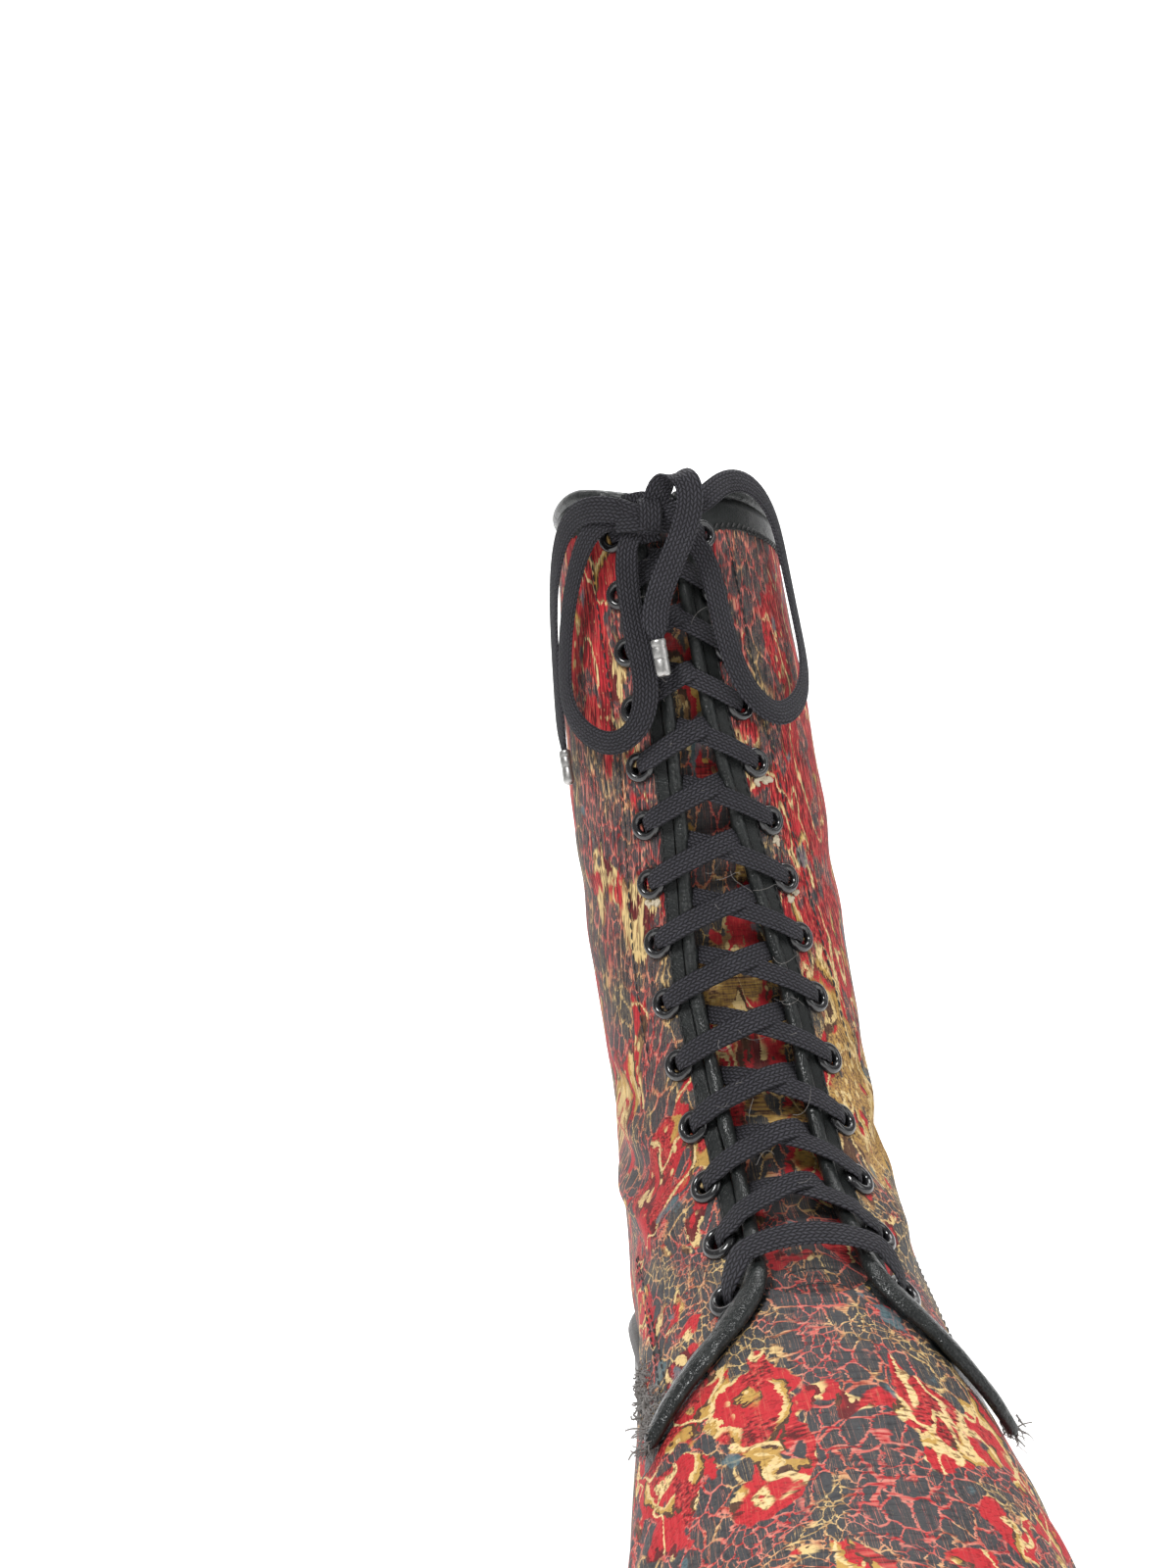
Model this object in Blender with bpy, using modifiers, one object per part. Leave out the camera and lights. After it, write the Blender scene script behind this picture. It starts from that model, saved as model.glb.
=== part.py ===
"""Laced mid-calf boot for a left foot, empty, standing on its sole.

Shoe sizes are in millimetres: u runs forward from the heel's back, x to the
outer (lateral) side, z up.  World: +X lateral, -Y toward the toe, +Z up.
"""
import math

import bmesh
import bpy
import numpy as np
from mathutils import Matrix, Vector

for old in list(bpy.data.objects):
    bpy.data.objects.remove(old, do_unlink=True)

# ---------------------------------------------------------------- sizes, mm
MM = 0.001
U_MID, X_MID = 140.766, -2.433     # where the middle of the boot's box sits
WALL = 2.2                     # upper's leather and lining
GAP = 0.3                      # between pieces that meet
ROWS = 14                      # eyelets a side
PITCH = 17.5                   # along an eyelet column
PIPE_R = 2.0                   # piping radius
ROLL_R = 2.2                   # collar roll radius
COLLAR_Z = 303.0               # top of the upper's wall
TUCK_H = 16.0                  # height over which the wall draws in at the sole
LACE_W, LACE_T = 6.0, 1.3      # lace under tension
CORD_R = 1.7                   # same cross-section as a round cord
SOLE_LIP = 1.2                 # sole beyond the foot of the wall

# front line of the upper, collar to toe tip: u, z, crown (depth of rounding)
FRONT = (
    (113.0, 306.0, 50.0),
    (112.0, 289.0, 50.0),
    (111.5, 255.0, 50.0),
    (112.5, 221.0, 50.0),
    (115.5, 186.0, 49.0),
    (123.5, 154.0, 47.0),
    (137.0, 125.5, 44.0),
    (160.5, 104.5, 42.0),
    (181.5, 93.5, 42.0),
    (205.0, 82.5, 42.0),
    (230.0, 71.5, 42.0),
    (252.0, 62.5, 41.0),
    (268.0, 53.0, 40.0),
    (277.0, 41.5, 40.0),
    (280.0, 26.2, 40.0),
)
# back line: z, u, crown
BACK = (
    (15.0, 3.6, 38.0),
    (36.0, 2.4, 38.0),
    (50.0, 0.7, 39.0),
    (62.0, 0.0, 40.0),
    (80.0, 2.0, 43.0),
    (100.0, 6.5, 46.0),
    (120.0, 10.0, 50.0),
    (140.0, 11.5, 52.0),
    (160.0, 11.0, 54.0),
    (200.0, 8.0, 56.0),
    (240.0, 4.5, 57.0),
    (280.0, 1.5, 58.0),
    (310.0, 0.0, 58.0),
)
# foot: u, half width medial, half width lateral, sideways curve of the last, draw-in at the sole
FOOT = (
    (0.0, 32.5, 32.5, 0.0, 0.05),
    (40.0, 34.0, 34.0, 0.3, 0.06),
    (75.0, 34.5, 34.5, 0.7, 0.12),
    (105.0, 36.0, 35.5, 1.2, 0.15),
    (135.0, 39.0, 36.2, 1.8, 0.12),
    (165.0, 42.5, 38.2, 2.2, 0.07),
    (190.0, 45.8, 42.0, 1.8, 0.055),
    (210.0, 47.4, 45.0, 0.8, 0.055),
    (235.0, 46.5, 46.5, -1.5, 0.055),
    (260.0, 44.0, 44.5, -5.0, 0.055),
    (282.0, 40.5, 42.0, -9.0, 0.055),
)
# shaft: z, half width, lean to the medial side, turn (shift of the front to the medial side)
SHAFT = (
    (60.0, 36.0, 0.0, 0.0),
    (95.0, 38.0, 0.0, 0.0),
    (112.0, 37.2, 0.0, -0.6),
    (135.0, 39.3, -0.7, -1.6),
    (167.0, 40.8, -2.6, -3.3),
    (202.0, 41.5, -5.0, -5.2),
    (238.0, 41.0, -7.6, -7.4),
    (272.0, 38.4, -9.4, -10.2),
    (306.0, 35.8, -10.8, -13.2),
)
# sole: u, top (where the wall stands), bottom
SOLE = (
    (-6.0, 36.0, 0.0),
    (30.0, 36.0, 0.0),
    (68.0, 34.6, 0.0),
    (72.0, 34.2, 24.0),
    (90.0, 31.3, 21.5),
    (110.0, 27.3, 17.0),
    (130.0, 23.0, 11.0),
    (150.0, 19.6, 4.5),
    (165.0, 17.8, 0.0),
    (190.0, 16.5, 0.0),
    (213.0, 16.7, 0.0),
    (235.0, 18.3, 1.8),
    (255.0, 21.0, 5.0),
    (270.0, 23.9, 8.6),
    (286.0, 27.4, 13.2),
)
# lacing by row: row, eyelet half spacing, half gap between the pipings
LACING = (
    (0.0, 12.6, 3.0),
    (1.0, 13.2, 3.3),
    (4.0, 15.4, 3.7),
    (5.0, 16.9, 5.0),
    (6.0, 18.1, 6.1),
    (7.0, 19.5, 8.0),
    (8.0, 20.4, 9.5),
    (9.0, 21.0, 10.6),
    (10.0, 20.6, 10.2),
    (11.0, 19.9, 9.8),
    (12.0, 19.6, 9.4),
    (13.0, 19.6, 9.8),
    (14.0, 20.4, 10.6),
    (15.0, 21.0, 11.5),
)


# ------------------------------------------------------------ smooth tables
def col(table, k):
    return np.array([row[k] for row in table], float)


def smooth(xs, ys, x):
    """Monotone cubic through the rows of a table."""
    xs, ys = np.asarray(xs, float), np.asarray(ys, float)
    x = np.clip(np.asarray(x, float), xs[0], xs[-1])
    h, d = np.diff(xs), np.diff(ys) / np.diff(xs)
    m = np.zeros_like(xs)
    m[0], m[-1] = d[0], d[-1]
    for k in range(1, len(xs) - 1):
        if d[k - 1] * d[k] > 0:
            a, b = 2 * h[k] + h[k - 1], h[k] + 2 * h[k - 1]
            m[k] = (a + b) / (a / d[k - 1] + b / d[k])
    i = np.clip(np.searchsorted(xs, x) - 1, 0, len(xs) - 2)
    t = (x - xs[i]) / h[i]
    return ((2 * t**3 - 3 * t**2 + 1) * ys[i] + (t**3 - 2 * t**2 + t) * h[i] * m[i]
            + (3 * t**2 - 2 * t**3) * ys[i + 1] + (t**3 - t**2) * h[i] * m[i + 1])


def spline(xs, ys, x):
    """Natural cubic spline."""
    xs, ys = np.asarray(xs, float), np.asarray(ys, float)
    n, h = len(xs), np.diff(xs)
    a, b = np.eye(n), np.zeros(n)
    for k in range(1, n - 1):
        a[k, k - 1], a[k, k], a[k, k + 1] = h[k - 1], 2 * (h[k - 1] + h[k]), h[k]
        b[k] = 6 * ((ys[k + 1] - ys[k]) / h[k] - (ys[k] - ys[k - 1]) / h[k - 1])
    m = np.linalg.solve(a, b)
    x = np.asarray(x, float)
    i = np.clip(np.searchsorted(xs, x) - 1, 0, n - 2)
    p, q = xs[i + 1] - x, x - xs[i]
    return (m[i] * p**3 + m[i + 1] * q**3) / (6 * h[i]) + (
        ys[i] / h[i] - m[i] * h[i] / 6) * p + (ys[i + 1] / h[i] - m[i + 1] * h[i] / 6) * q


def step(a, b, x):
    t = np.clip((np.asarray(x, float) - a) / (b - a), 0, 1)
    return t * t * (3 - 2 * t)


# -------------------------------------------------------- the upper's form
def front_line(samples=1000):
    u, z, r = col(FRONT, 0), col(FRONT, 1), col(FRONT, 2)
    chord = np.r_[0, np.cumsum(np.hypot(np.diff(u), np.diff(z)))]
    t = np.linspace(0, chord[-1], 4 * samples)
    fu, fz = spline(chord, u, t), spline(chord, z, t)
    arc = np.r_[0, np.cumsum(np.hypot(np.diff(fu), np.diff(fz)))]
    s = np.linspace(0, arc[-1], samples)
    tt = np.interp(s, arc, t)
    fu, fz, fr = spline(chord, u, tt), spline(chord, z, tt), smooth(chord, r, tt)
    du, dz = np.gradient(fu, s), np.gradient(fz, s)
    n = np.hypot(du, dz)
    return s, fu, fz, dz / n, -du / n, fr


LINE_S, LINE_U, LINE_Z, LINE_NU, LINE_NZ, LINE_R = front_line()
S_END = float(LINE_S[-1])


def front(s):
    """Point, inward normal and crown on the front line, s from the collar."""
    return [np.interp(s, LINE_S, k) for k in (LINE_U, LINE_Z, LINE_NU, LINE_NZ, LINE_R)]


def back_u(z):
    return smooth(col(BACK, 0), col(BACK, 1), z)


def sole_top(u):
    return smooth(col(SOLE, 0), col(SOLE, 1), u)


def sole_bottom(u):
    return np.interp(u, col(SOLE, 0), col(SOLE, 2))


def middle(u, z):
    turn = smooth(col(SHAFT, 0), col(SHAFT, 3), z) * (np.asarray(u) - 56.0) / 56.0
    return smooth(col(FOOT, 0), col(FOOT, 3), u) + smooth(col(SHAFT, 0), col(SHAFT, 2), z) + turn


def half_width(u, z, side):
    foot = np.where(np.asarray(side) > 0, smooth(col(FOOT, 0), col(FOOT, 2), u),
                    smooth(col(FOOT, 0), col(FOOT, 1), u))
    shaft = smooth(col(SHAFT, 0), col(SHAFT, 1), z)
    b = step(55, 118, z)
    k = np.clip((z - sole_top(u)) / TUCK_H, 0, 1)
    draw = smooth(col(FOOT, 0), col(FOOT, 4), u)
    return (foot * (1 - b) + shaft * b) * (1 - draw * (1 - k) ** 2)


def crown(d, r):
    k = 1 - np.clip(d / r, 0, 1)
    return np.sqrt(np.clip(1 - k * k, 0, 1))


def from_front(u, z):
    """Distance in from the front line, and the crown there."""
    u, z = np.ravel(u), np.ravel(z)
    d, r = np.zeros(len(u)), np.zeros(len(u))
    for k in range(0, len(u), 4000):
        a, b = u[k:k + 4000, None], z[k:k + 4000, None]
        i = np.argmin((a - LINE_U) ** 2 + (b - LINE_Z) ** 2, axis=1)
        d[k:k + 4000] = (a[:, 0] - LINE_U[i]) * LINE_NU[i] + (b[:, 0] - LINE_Z[i]) * LINE_NZ[i]
        r[k:k + 4000] = LINE_R[i]
    return np.maximum(d, 0), r


def wall_x(u, z, side):
    """Sideways place of the upper's outer face over a point of its side view."""
    u, z = np.asarray(u, float), np.asarray(z, float)
    d, r = from_front(u, z)
    d, r = d.reshape(u.shape), r.reshape(u.shape)
    rb = smooth(col(BACK, 0), col(BACK, 2), z)
    return middle(u, z) + side * half_width(u, z, side) * crown(d, r) * crown(u - back_u(z), rb)


def on_front(s, h, lift=0.0):
    """Point near the front line, h to the lateral side, lift off the outer face."""
    def point(s, h):
        u0, z0, nu, nz, r = front(s)
        u, z = u0, z0
        for _ in range(2):
            k = np.clip(abs(h) / half_width(u, z, np.sign(h) + 0.5), 0, 0.98)
            d = r * (1 - np.sqrt(1 - k * k))
            u, z = u0 + nu * d, z0 + nz * d
        return np.array([float(u), float(middle(u, z)) + h, float(z)])

    p, e = point(s, h), 0.5
    n = np.cross(point(s + e, h) - point(s - e, h), point(s, h + e) - point(s, h - e))
    n /= np.linalg.norm(n)
    _, _, nu, nz, _ = front(s)
    if n[0] * nu + n[2] * nz > 0:
        n = -n
    return p + lift * n, n


def on_side(u, z, side, lift=0.0):
    e = 0.4
    x = float(wall_x(u, z, side))
    gu = float(wall_x(u + e, z, side) - wall_x(u - e, z, side)) / (2 * e)
    gz = float(wall_x(u, z + e, side) - wall_x(u, z - e, side)) / (2 * e)
    n = side * np.array([-gu, 1.0, -gz])
    n /= np.linalg.norm(n)
    return np.array([u, x, z]) + lift * n, n


def eyelet_rows():
    """Places along the front line that set the eyelets one pitch apart."""
    spread = lambda row: float(smooth(col(LACING, 0), col(LACING, 1), row))
    s = [float(np.interp(-289.5, -LINE_Z, LINE_S))]
    for row in range(2, ROWS + 1):
        here, _ = on_front(s[-1], spread(row - 1))
        a, b = s[-1] + 5, s[-1] + 40
        for _ in range(40):
            m = (a + b) / 2
            far = np.linalg.norm(on_front(m, spread(row))[0] - here) > PITCH
            a, b = (a, m) if far else (m, b)
        s.append((a + b) / 2)
    return np.array(s)


ROW_S = eyelet_rows()


def row_at(s):
    return np.interp(s, np.r_[ROW_S[0] - PITCH, ROW_S, ROW_S[-1] + PITCH], np.arange(0, ROWS + 2))


def spread(row):
    return float(smooth(col(LACING, 0), col(LACING, 1), row))


def half_gap(s):
    return float(smooth(col(LACING, 0), col(LACING, 2), row_at(s)))


THROAT_S = float(ROW_S[-1] + 5.0)      # bottom of the throat


def throat_edge(s):
    """Half width of the opening in the wall."""
    k = np.clip((s - (THROAT_S - 13.0)) / 13.0, 0, 1)
    return (half_gap(s) + 2 * PIPE_R + GAP) * math.sqrt(max(0.0, 1 - k * k))


# ------------------------------------------------------------------ Blender
parts = bpy.data.collections.new("laced_mid_calf_boot")
tools = bpy.data.collections.new("cutters")
bpy.context.scene.collection.children.link(parts)
bpy.context.scene.collection.children.link(tools)


def world(p):
    return Vector(((p[1] - X_MID) * MM, (U_MID - p[0]) * MM, p[2] * MM))


def turned(n):
    return Vector((n[1], -n[0], n[2]))


def material(name, colour, rough, metal=0.0):
    m = bpy.data.materials.new(name)
    m.use_nodes = True
    b = m.node_tree.nodes["Principled BSDF"]
    b.inputs["Base Color"].default_value = (*colour, 1)
    b.inputs["Roughness"].default_value = rough
    b.inputs["Metallic"].default_value = metal
    return m


PRINT = material("printed_leather", (0.22, 0.055, 0.04), 0.6)
BLACK = material("black_leather", (0.02, 0.02, 0.022), 0.45)
RUBBER = material("dark_rubber", (0.022, 0.016, 0.014), 0.5)
FOOTBED = material("footbed", (0.05, 0.045, 0.04), 0.8)
ENAMEL = material("black_metal", (0.02, 0.02, 0.022), 0.2, 1.0)
BRAID = material("lace_braid", (0.03, 0.03, 0.035), 0.75)
SILVER = material("silver_metal", (0.7, 0.7, 0.7), 0.3, 1.0)


def add(name, data, mat, home=parts):
    o = bpy.data.objects.new(name, data)
    home.objects.link(o)
    data.materials.append(mat)
    return o


def mesh_of(name, points, faces):
    bm = bmesh.new()
    vs = [bm.verts.new(world(p)) for p in points]
    for f in faces:
        f = [k for i, k in enumerate(f) if k not in f[:i]]
        if len(f) > 2:
            bm.faces.new([vs[k] for k in f])
    bmesh.ops.remove_doubles(bm, verts=bm.verts, dist=0.00002)
    bmesh.ops.dissolve_degenerate(bm, edges=bm.edges, dist=0.00001)
    bmesh.ops.recalc_face_normals(bm, faces=bm.faces)
    me = bpy.data.meshes.new(name)
    bm.to_mesh(me)
    bm.free()
    return me


def frozen(o):
    """The evaluated mesh of an object, which is then removed."""
    bpy.context.view_layer.update()
    me = bpy.data.meshes.new_from_object(o.evaluated_get(bpy.context.evaluated_depsgraph_get()))
    m = o.matrix_world.copy()
    bpy.data.objects.remove(o, do_unlink=True)
    me.transform(m)
    return me


def tube(name, points, radius, mat, sides=2):
    cu = bpy.data.curves.new(name, "CURVE")
    cu.dimensions, cu.bevel_depth, cu.bevel_resolution = "3D", radius * MM, sides
    cu.use_fill_caps = True
    sp = cu.splines.new("POLY")
    sp.points.add(len(points) - 1)
    for q, p in zip(sp.points, points):
        q.co = (*world(p), 1)
    return add(name, cu, mat)


def resampled(points, count):
    """A smooth curve through route points, read again at even spacing."""
    p = np.array(points, float)
    t = np.r_[0, np.cumsum(np.linalg.norm(np.diff(p, axis=0), axis=1) ** 0.5)]
    fine = np.linspace(0, t[-1], 40 * len(p))
    q = np.stack([spline(t, p[:, k], fine) for k in range(3)], 1)
    arc = np.r_[0, np.cumsum(np.linalg.norm(np.diff(q, axis=0), axis=1))]
    at = np.linspace(0, arc[-1], count)
    return np.stack([np.interp(at, arc, q[:, k]) for k in range(3)], 1)


# -------------------------------------------------------------------- upper
def upper_mesh(cols=36, rows=10):
    """Columns climb from the sole to the collar, the throat edge or the vamp's ridge."""
    v_collar, v_throat, corner_s = 0.36, 0.69, 8.0
    toe_s = S_END - 42.0
    points, faces = [], []
    for side in (-1, 1):
        corner, _ = on_front(corner_s, side * throat_edge(corner_s))
        grid = np.zeros((cols + 1, rows + 1, 3))
        for c in range(cols + 1):
            v = c / cols
            a = v / v_collar
            if v <= v_collar:
                fu = float(back_u(36.0)) + (102 - float(back_u(36.0))) * (a * a * (1.6 - 0.6 * a))
            elif v <= v_throat:
                fu = 102 + (186 - 102) * (v - v_collar) / (v_throat - v_collar)
            else:
                b = (1 - v) / (1 - v_throat)
                fu = 280 - (280 - 186) * (b * b * (1.5 - 0.5 * b))
            fz = float(sole_top(fu)) + GAP
            if v <= v_collar:
                back = float(back_u(COLLAR_Z))
                tu = back + (corner[0] - back) * (a * a * (1.6 - 0.6 * a))
                drop = max(0.0, (tu - (corner[0] - 14)) / 14)
                tz = COLLAR_Z - (COLLAR_Z - corner[2]) * drop**2
                t_x = None
            elif v <= v_throat:
                s = corner_s + (THROAT_S - corner_s) * math.sin(
                    math.pi / 2 * ((v - v_collar) / (v_throat - v_collar)) ** 0.85)
                t_x, _ = on_front(s, side * max(throat_edge(s), 0.0))
                tu, tz = t_x[0], t_x[2]
            else:
                s = THROAT_S + (toe_s - THROAT_S) * (v - v_throat) / (1 - v_throat)
                tu, tz = [float(k) for k in front(s)[:2]]
                t_x = (tu, float(middle(tu, tz)), tz)
            for r in range(rows + 1):
                w = r / rows
                if v > v_collar:
                    mix = float(step(v_collar, v_throat, v))
                    w = w * (1 - 0.75 * mix) + 0.75 * mix * (1 - (1 - w) ** 2)
                u, z = fu + (tu - fu) * w, fz + (tz - fz) * w
                if v < v_collar:
                    base = float(back_u(36.0)) + (float(back_u(COLLAR_Z)) - float(back_u(36.0))) * w
                    u += (float(back_u(z)) - base) * (1 - a * a) ** 2
                toe = float(step(0.8, 1.0, v))
                if toe > 0:
                    k = S_END - (S_END - toe_s) * (1 - (1 - w) ** 1.0)
                    au, az = [float(q) for q in front(k)[:2]]
                    e0, e1 = [float(q) for q in front(S_END)[:2]], [float(q) for q in front(toe_s)[:2]]
                    u += toe * (au - (e0[0] + (e1[0] - e0[0]) * w))
                    z += toe * (az - (e0[1] + (e1[1] - e0[1]) * w))
                if r == rows and t_x is not None:
                    grid[c, r] = t_x
                elif c in (0, cols):
                    grid[c, r] = (u, float(middle(u, z)), z)
                else:
                    grid[c, r] = (u, float(wall_x(u, z, side)), z)
        base = len(points)
        points += list(grid.reshape(-1, 3))
        for c in range(cols):
            for r in range(rows):
                q = [base + c * (rows + 1) + r, base + (c + 1) * (rows + 1) + r,
                     base + (c + 1) * (rows + 1) + r + 1, base + c * (rows + 1) + r + 1]
                faces.append(q if side < 0 else q[::-1])
    return points, faces


upper_points, upper_faces = upper_mesh()
upper_me = mesh_of("upper", upper_points, upper_faces)
bm = bmesh.new()
bm.from_mesh(upper_me)
tip = max(bm.faces, key=lambda f: f.calc_center_median().x)
if tip.normal.x < 0:
    bmesh.ops.reverse_faces(bm, faces=bm.faces)
bm.to_mesh(upper_me)
bm.free()
upper = add("upper", upper_me, PRINT)
skin = upper.modifiers.new("wall", "SOLIDIFY")
skin.thickness, skin.offset, skin.use_even_offset = WALL * MM, -1, True

# ---------------------------------------------------------- eyelets, 14 a side
EYE_OUT, EYE_BORE, EYE_BARREL, HOLE = 4.7, 1.9, 2.7, 3.1
EYE_PROFILE = (           # radius, height off the face
    (2.9, 2.5),
    (3.9, 2.4),
    (EYE_OUT, 1.35),
    (EYE_BARREL, 0.95),
    (EYE_BARREL, -2.7),
    (EYE_BORE, -2.7),
)


def eyelet_mesh():
    bm = bmesh.new()
    vs = [bm.verts.new((r * MM, 0, z * MM)) for r, z in EYE_PROFILE]
    for k in range(len(vs)):
        bm.edges.new((vs[k], vs[(k + 1) % len(vs)]))
    me = bpy.data.meshes.new("eyelet")
    bm.to_mesh(me)
    bm.free()
    me.materials.append(ENAMEL)
    return me


eyelet_data = eyelet_mesh()
hole_bm = bmesh.new()
for side, tag in ((-1, "m"), (1, "l")):
    for row in range(1, ROWS + 1):
        p, n = on_front(ROW_S[row - 1], side * spread(row))
        turn = turned(n).to_track_quat("Z", "X").to_matrix().to_4x4()
        place = Matrix.Translation(world(p)) @ turn
        o = bpy.data.objects.new(f"eyelet_{tag}{row:02d}", eyelet_data)
        parts.objects.link(o)
        o.matrix_world = place
        sc = o.modifiers.new("turn", "SCREW")
        sc.steps = sc.render_steps = 8
        sc.use_merge_vertices, sc.merge_threshold = True, 0.00001
        bmesh.ops.create_cone(hole_bm, cap_ends=True, segments=8, radius1=HOLE * MM, radius2=HOLE * MM,
                              depth=12 * MM, matrix=place)
hole_me = bpy.data.meshes.new("eyelet_holes")
hole_bm.to_mesh(hole_me)
hole_bm.free()
holes = bpy.data.objects.new("eyelet_holes", hole_me)
tools.objects.link(holes)
holes.hide_render, holes.display_type = True, "WIRE"
cut = upper.modifiers.new("eyelet_holes", "BOOLEAN")
cut.operation, cut.object, cut.solver = "DIFFERENCE", holes, "EXACT"


# --------------------------------------------------------------- sole, insole
def plan(inset, lift, stations):
    """Outline of the wall's foot in plan, medial and lateral, moved out by -inset."""
    first, last = float(back_u(36.0)), 280.0
    u = first + (last - first) * stations
    z = sole_top(u) + lift
    out = []
    for side in (-1, 1):
        x = wall_x(u, z, side)
        x[0], x[-1] = middle(u[0], z[0]), middle(u[-1], z[-1])
        p = np.stack([u, x], 1)
        t = np.gradient(p, axis=0)
        t /= np.linalg.norm(t, axis=1)[:, None]
        n = np.stack([-t[:, 1], t[:, 0]], 1) * side
        n[0], n[-1] = (-1, 0), (1, 0)
        out.append(p - inset * n)
    return out


def plate(name, rings, stations, mat):
    """Solid between stacked outlines: inset, lift for the plan, height of a point."""
    n, points, faces = len(stations), [], []
    for inset, height in rings:
        med, lat = plan(inset, 0.4, stations)
        for row in (med, lat):
            points += [(p[0], p[1], height(p[0])) for p in row]
    idx = lambda ring, side, k: ring * 2 * n + side * n + (k if 0 < k < n - 1 else k)
    same = {}
    for ring in range(len(rings)):
        for k in (0, n - 1):
            same[idx(ring, 1, k)] = idx(ring, 0, k)
    i = lambda *a: same.get(idx(*a), idx(*a))
    for k in range(n - 1):
        for ring in range(len(rings) - 1):
            for side in (0, 1):
                faces.append([i(ring, side, k), i(ring, side, k + 1), i(ring + 1, side, k + 1), i(ring + 1, side, k)])
        for ring in (0, len(rings) - 1):
            faces.append([i(ring, 0, k), i(ring, 0, k + 1), i(ring, 1, k + 1), i(ring, 1, k)])
    used = sorted({k for f in faces for k in f})
    renum = {k: j for j, k in enumerate(used)}
    return add(name, mesh_of(name, [points[k] for k in used], [[renum[k] for k in f] for f in faces]), mat)


even = (1 - np.cos(np.linspace(0, math.pi, 27))) / 2
span = 280.0 - float(back_u(36.0))
marks = [(q - float(back_u(36.0))) / span for q in (68.0, 72.0, 165.0, 213.0)]
even = np.array([k for k in even if min(abs(k - m) for m in marks) > 0.012])
sole_stations = np.sort(np.r_[even, marks])
sole = plate("sole", (
    (-SOLE_LIP, lambda u: float(sole_top(u))),
    (-SOLE_LIP - 0.8, lambda u: float(sole_top(u)) - 2.5),
    (-SOLE_LIP - 0.2, lambda u: float(sole_bottom(u)) + 1.6),
    (-SOLE_LIP + 1.2, lambda u: float(sole_bottom(u))),
), sole_stations, RUBBER)

# grooves that leave the main lugs: u, depth, width
GROOVES = (
    (22.0, 3.5, 4.0), (38.0, 3.5, 4.0), (54.0, 3.5, 4.0),
    (172.0, 3.5, 4.5), (188.0, 3.5, 4.5), (204.0, 3.5, 4.5), (220.0, 3.5, 4.5), (236.0, 3.5, 4.5), (251.0, 3.5, 4.5),
)
groove_bm = bmesh.new()
for gu, deep, wide in GROOVES:
    floor = float(sole_bottom(gu))
    lean = math.atan2(float(sole_bottom(gu + 5)) - float(sole_bottom(gu - 5)), 10.0)
    spot = Matrix.Translation(world((gu, 0, floor + deep - 6.0))) @ Matrix.Rotation(-lean, 4, "X")
    bmesh.ops.create_cube(groove_bm, size=1.0, matrix=spot @ Matrix.Diagonal((0.14, wide * MM, 0.012, 1)))
groove_me = bpy.data.meshes.new("lug_grooves")
groove_bm.to_mesh(groove_me)
groove_bm.free()
grooves = bpy.data.objects.new("lug_grooves", groove_me)
tools.objects.link(grooves)
grooves.hide_render, grooves.display_type = True, "WIRE"
lug = sole.modifiers.new("lug_grooves", "BOOLEAN")
lug.operation, lug.object, lug.solver = "DIFFERENCE", grooves, "EXACT"

insole_stations = (1 - np.cos(np.linspace(0, math.pi, 19))) / 2
insole = plate("insole", (
    (WALL + 1.4, lambda u: float(sole_top(u)) + GAP),
    (WALL + 1.4, lambda u: float(sole_top(u)) + GAP + 2.8),
), insole_stations, FOOTBED)

# ------------------------------------------------------------------- tongue
TONGUE_IN, TONGUE_T, TONGUE_HALF = 5.2, 1.8, 26.0
tongue_s = np.linspace(ROW_S[0] - 7, THROAT_S + 8, 14)
tongue_h = np.linspace(-1, 1, 7)
tp, tf = [], []
for s in tongue_s:
    half = TONGUE_HALF * (0.8 + 0.2 * float(step(tongue_s[0], tongue_s[0] + 30, s)))
    for k in tongue_h:
        tp.append(on_front(s, half * k, -TONGUE_IN)[0])
for a in range(len(tongue_s) - 1):
    for b in range(len(tongue_h) - 1):
        q = a * len(tongue_h) + b
        tf.append([q, q + 1, q + 1 + len(tongue_h), q + len(tongue_h)])
tongue_me = mesh_of("tongue", tp, tf)
bm = bmesh.new()
bm.from_mesh(tongue_me)
if sum((f.normal.y for f in bm.faces)) > 0:
    bmesh.ops.reverse_faces(bm, faces=bm.faces)
bm.to_mesh(tongue_me)
bm.free()
tongue = add("tongue", tongue_me, PRINT)
blade = tongue.modifiers.new("blade", "SOLIDIFY")
blade.thickness, blade.offset, blade.use_even_offset = TONGUE_T * MM, -1, True

# ------------------------------------------------------ piping and collar roll
def pipe_lift(s):
    """The piping rides in the throat's edge, and climbs onto the vamp below it."""
    return 0.5 + float(step(ROW_S[-1] - 26, ROW_S[-1] - 2, s)) * (PIPE_R - 0.15)


def over_pipe(s):
    return pipe_lift(s) + PIPE_R + LACE_T / 2 + 4 * GAP


# flare of the piping over the vamp: u, z of the side view, a row per point
FLARE = {
    1: ((183.5, 84.5), (186.5, 78.0), (188.0, 71.0), (187.5, 63.5)),
    -1: ((184.5, 84.5), (187.0, 78.0), (189.0, 71.5), (190.5, 66.0)),
}
for side, name in ((-1, "piping_medial"), (1, "piping_lateral")):
    route = []
    for s in np.linspace(9.0, ROW_S[-1] - 3, 20):
        h = half_gap(s) + PIPE_R
        route.append(on_front(s, side * h, pipe_lift(s))[0])
    for s, more in ((ROW_S[-1] + 4, 2.0),):
        route.append(on_front(s, side * (half_gap(s) + PIPE_R + more), PIPE_R + 0.45)[0])
    for u, z in FLARE[side]:
        route.append(on_side(u, z, side, PIPE_R + 0.45)[0])
    tube(name, resampled(route, 27), PIPE_R, BLACK)

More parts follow.
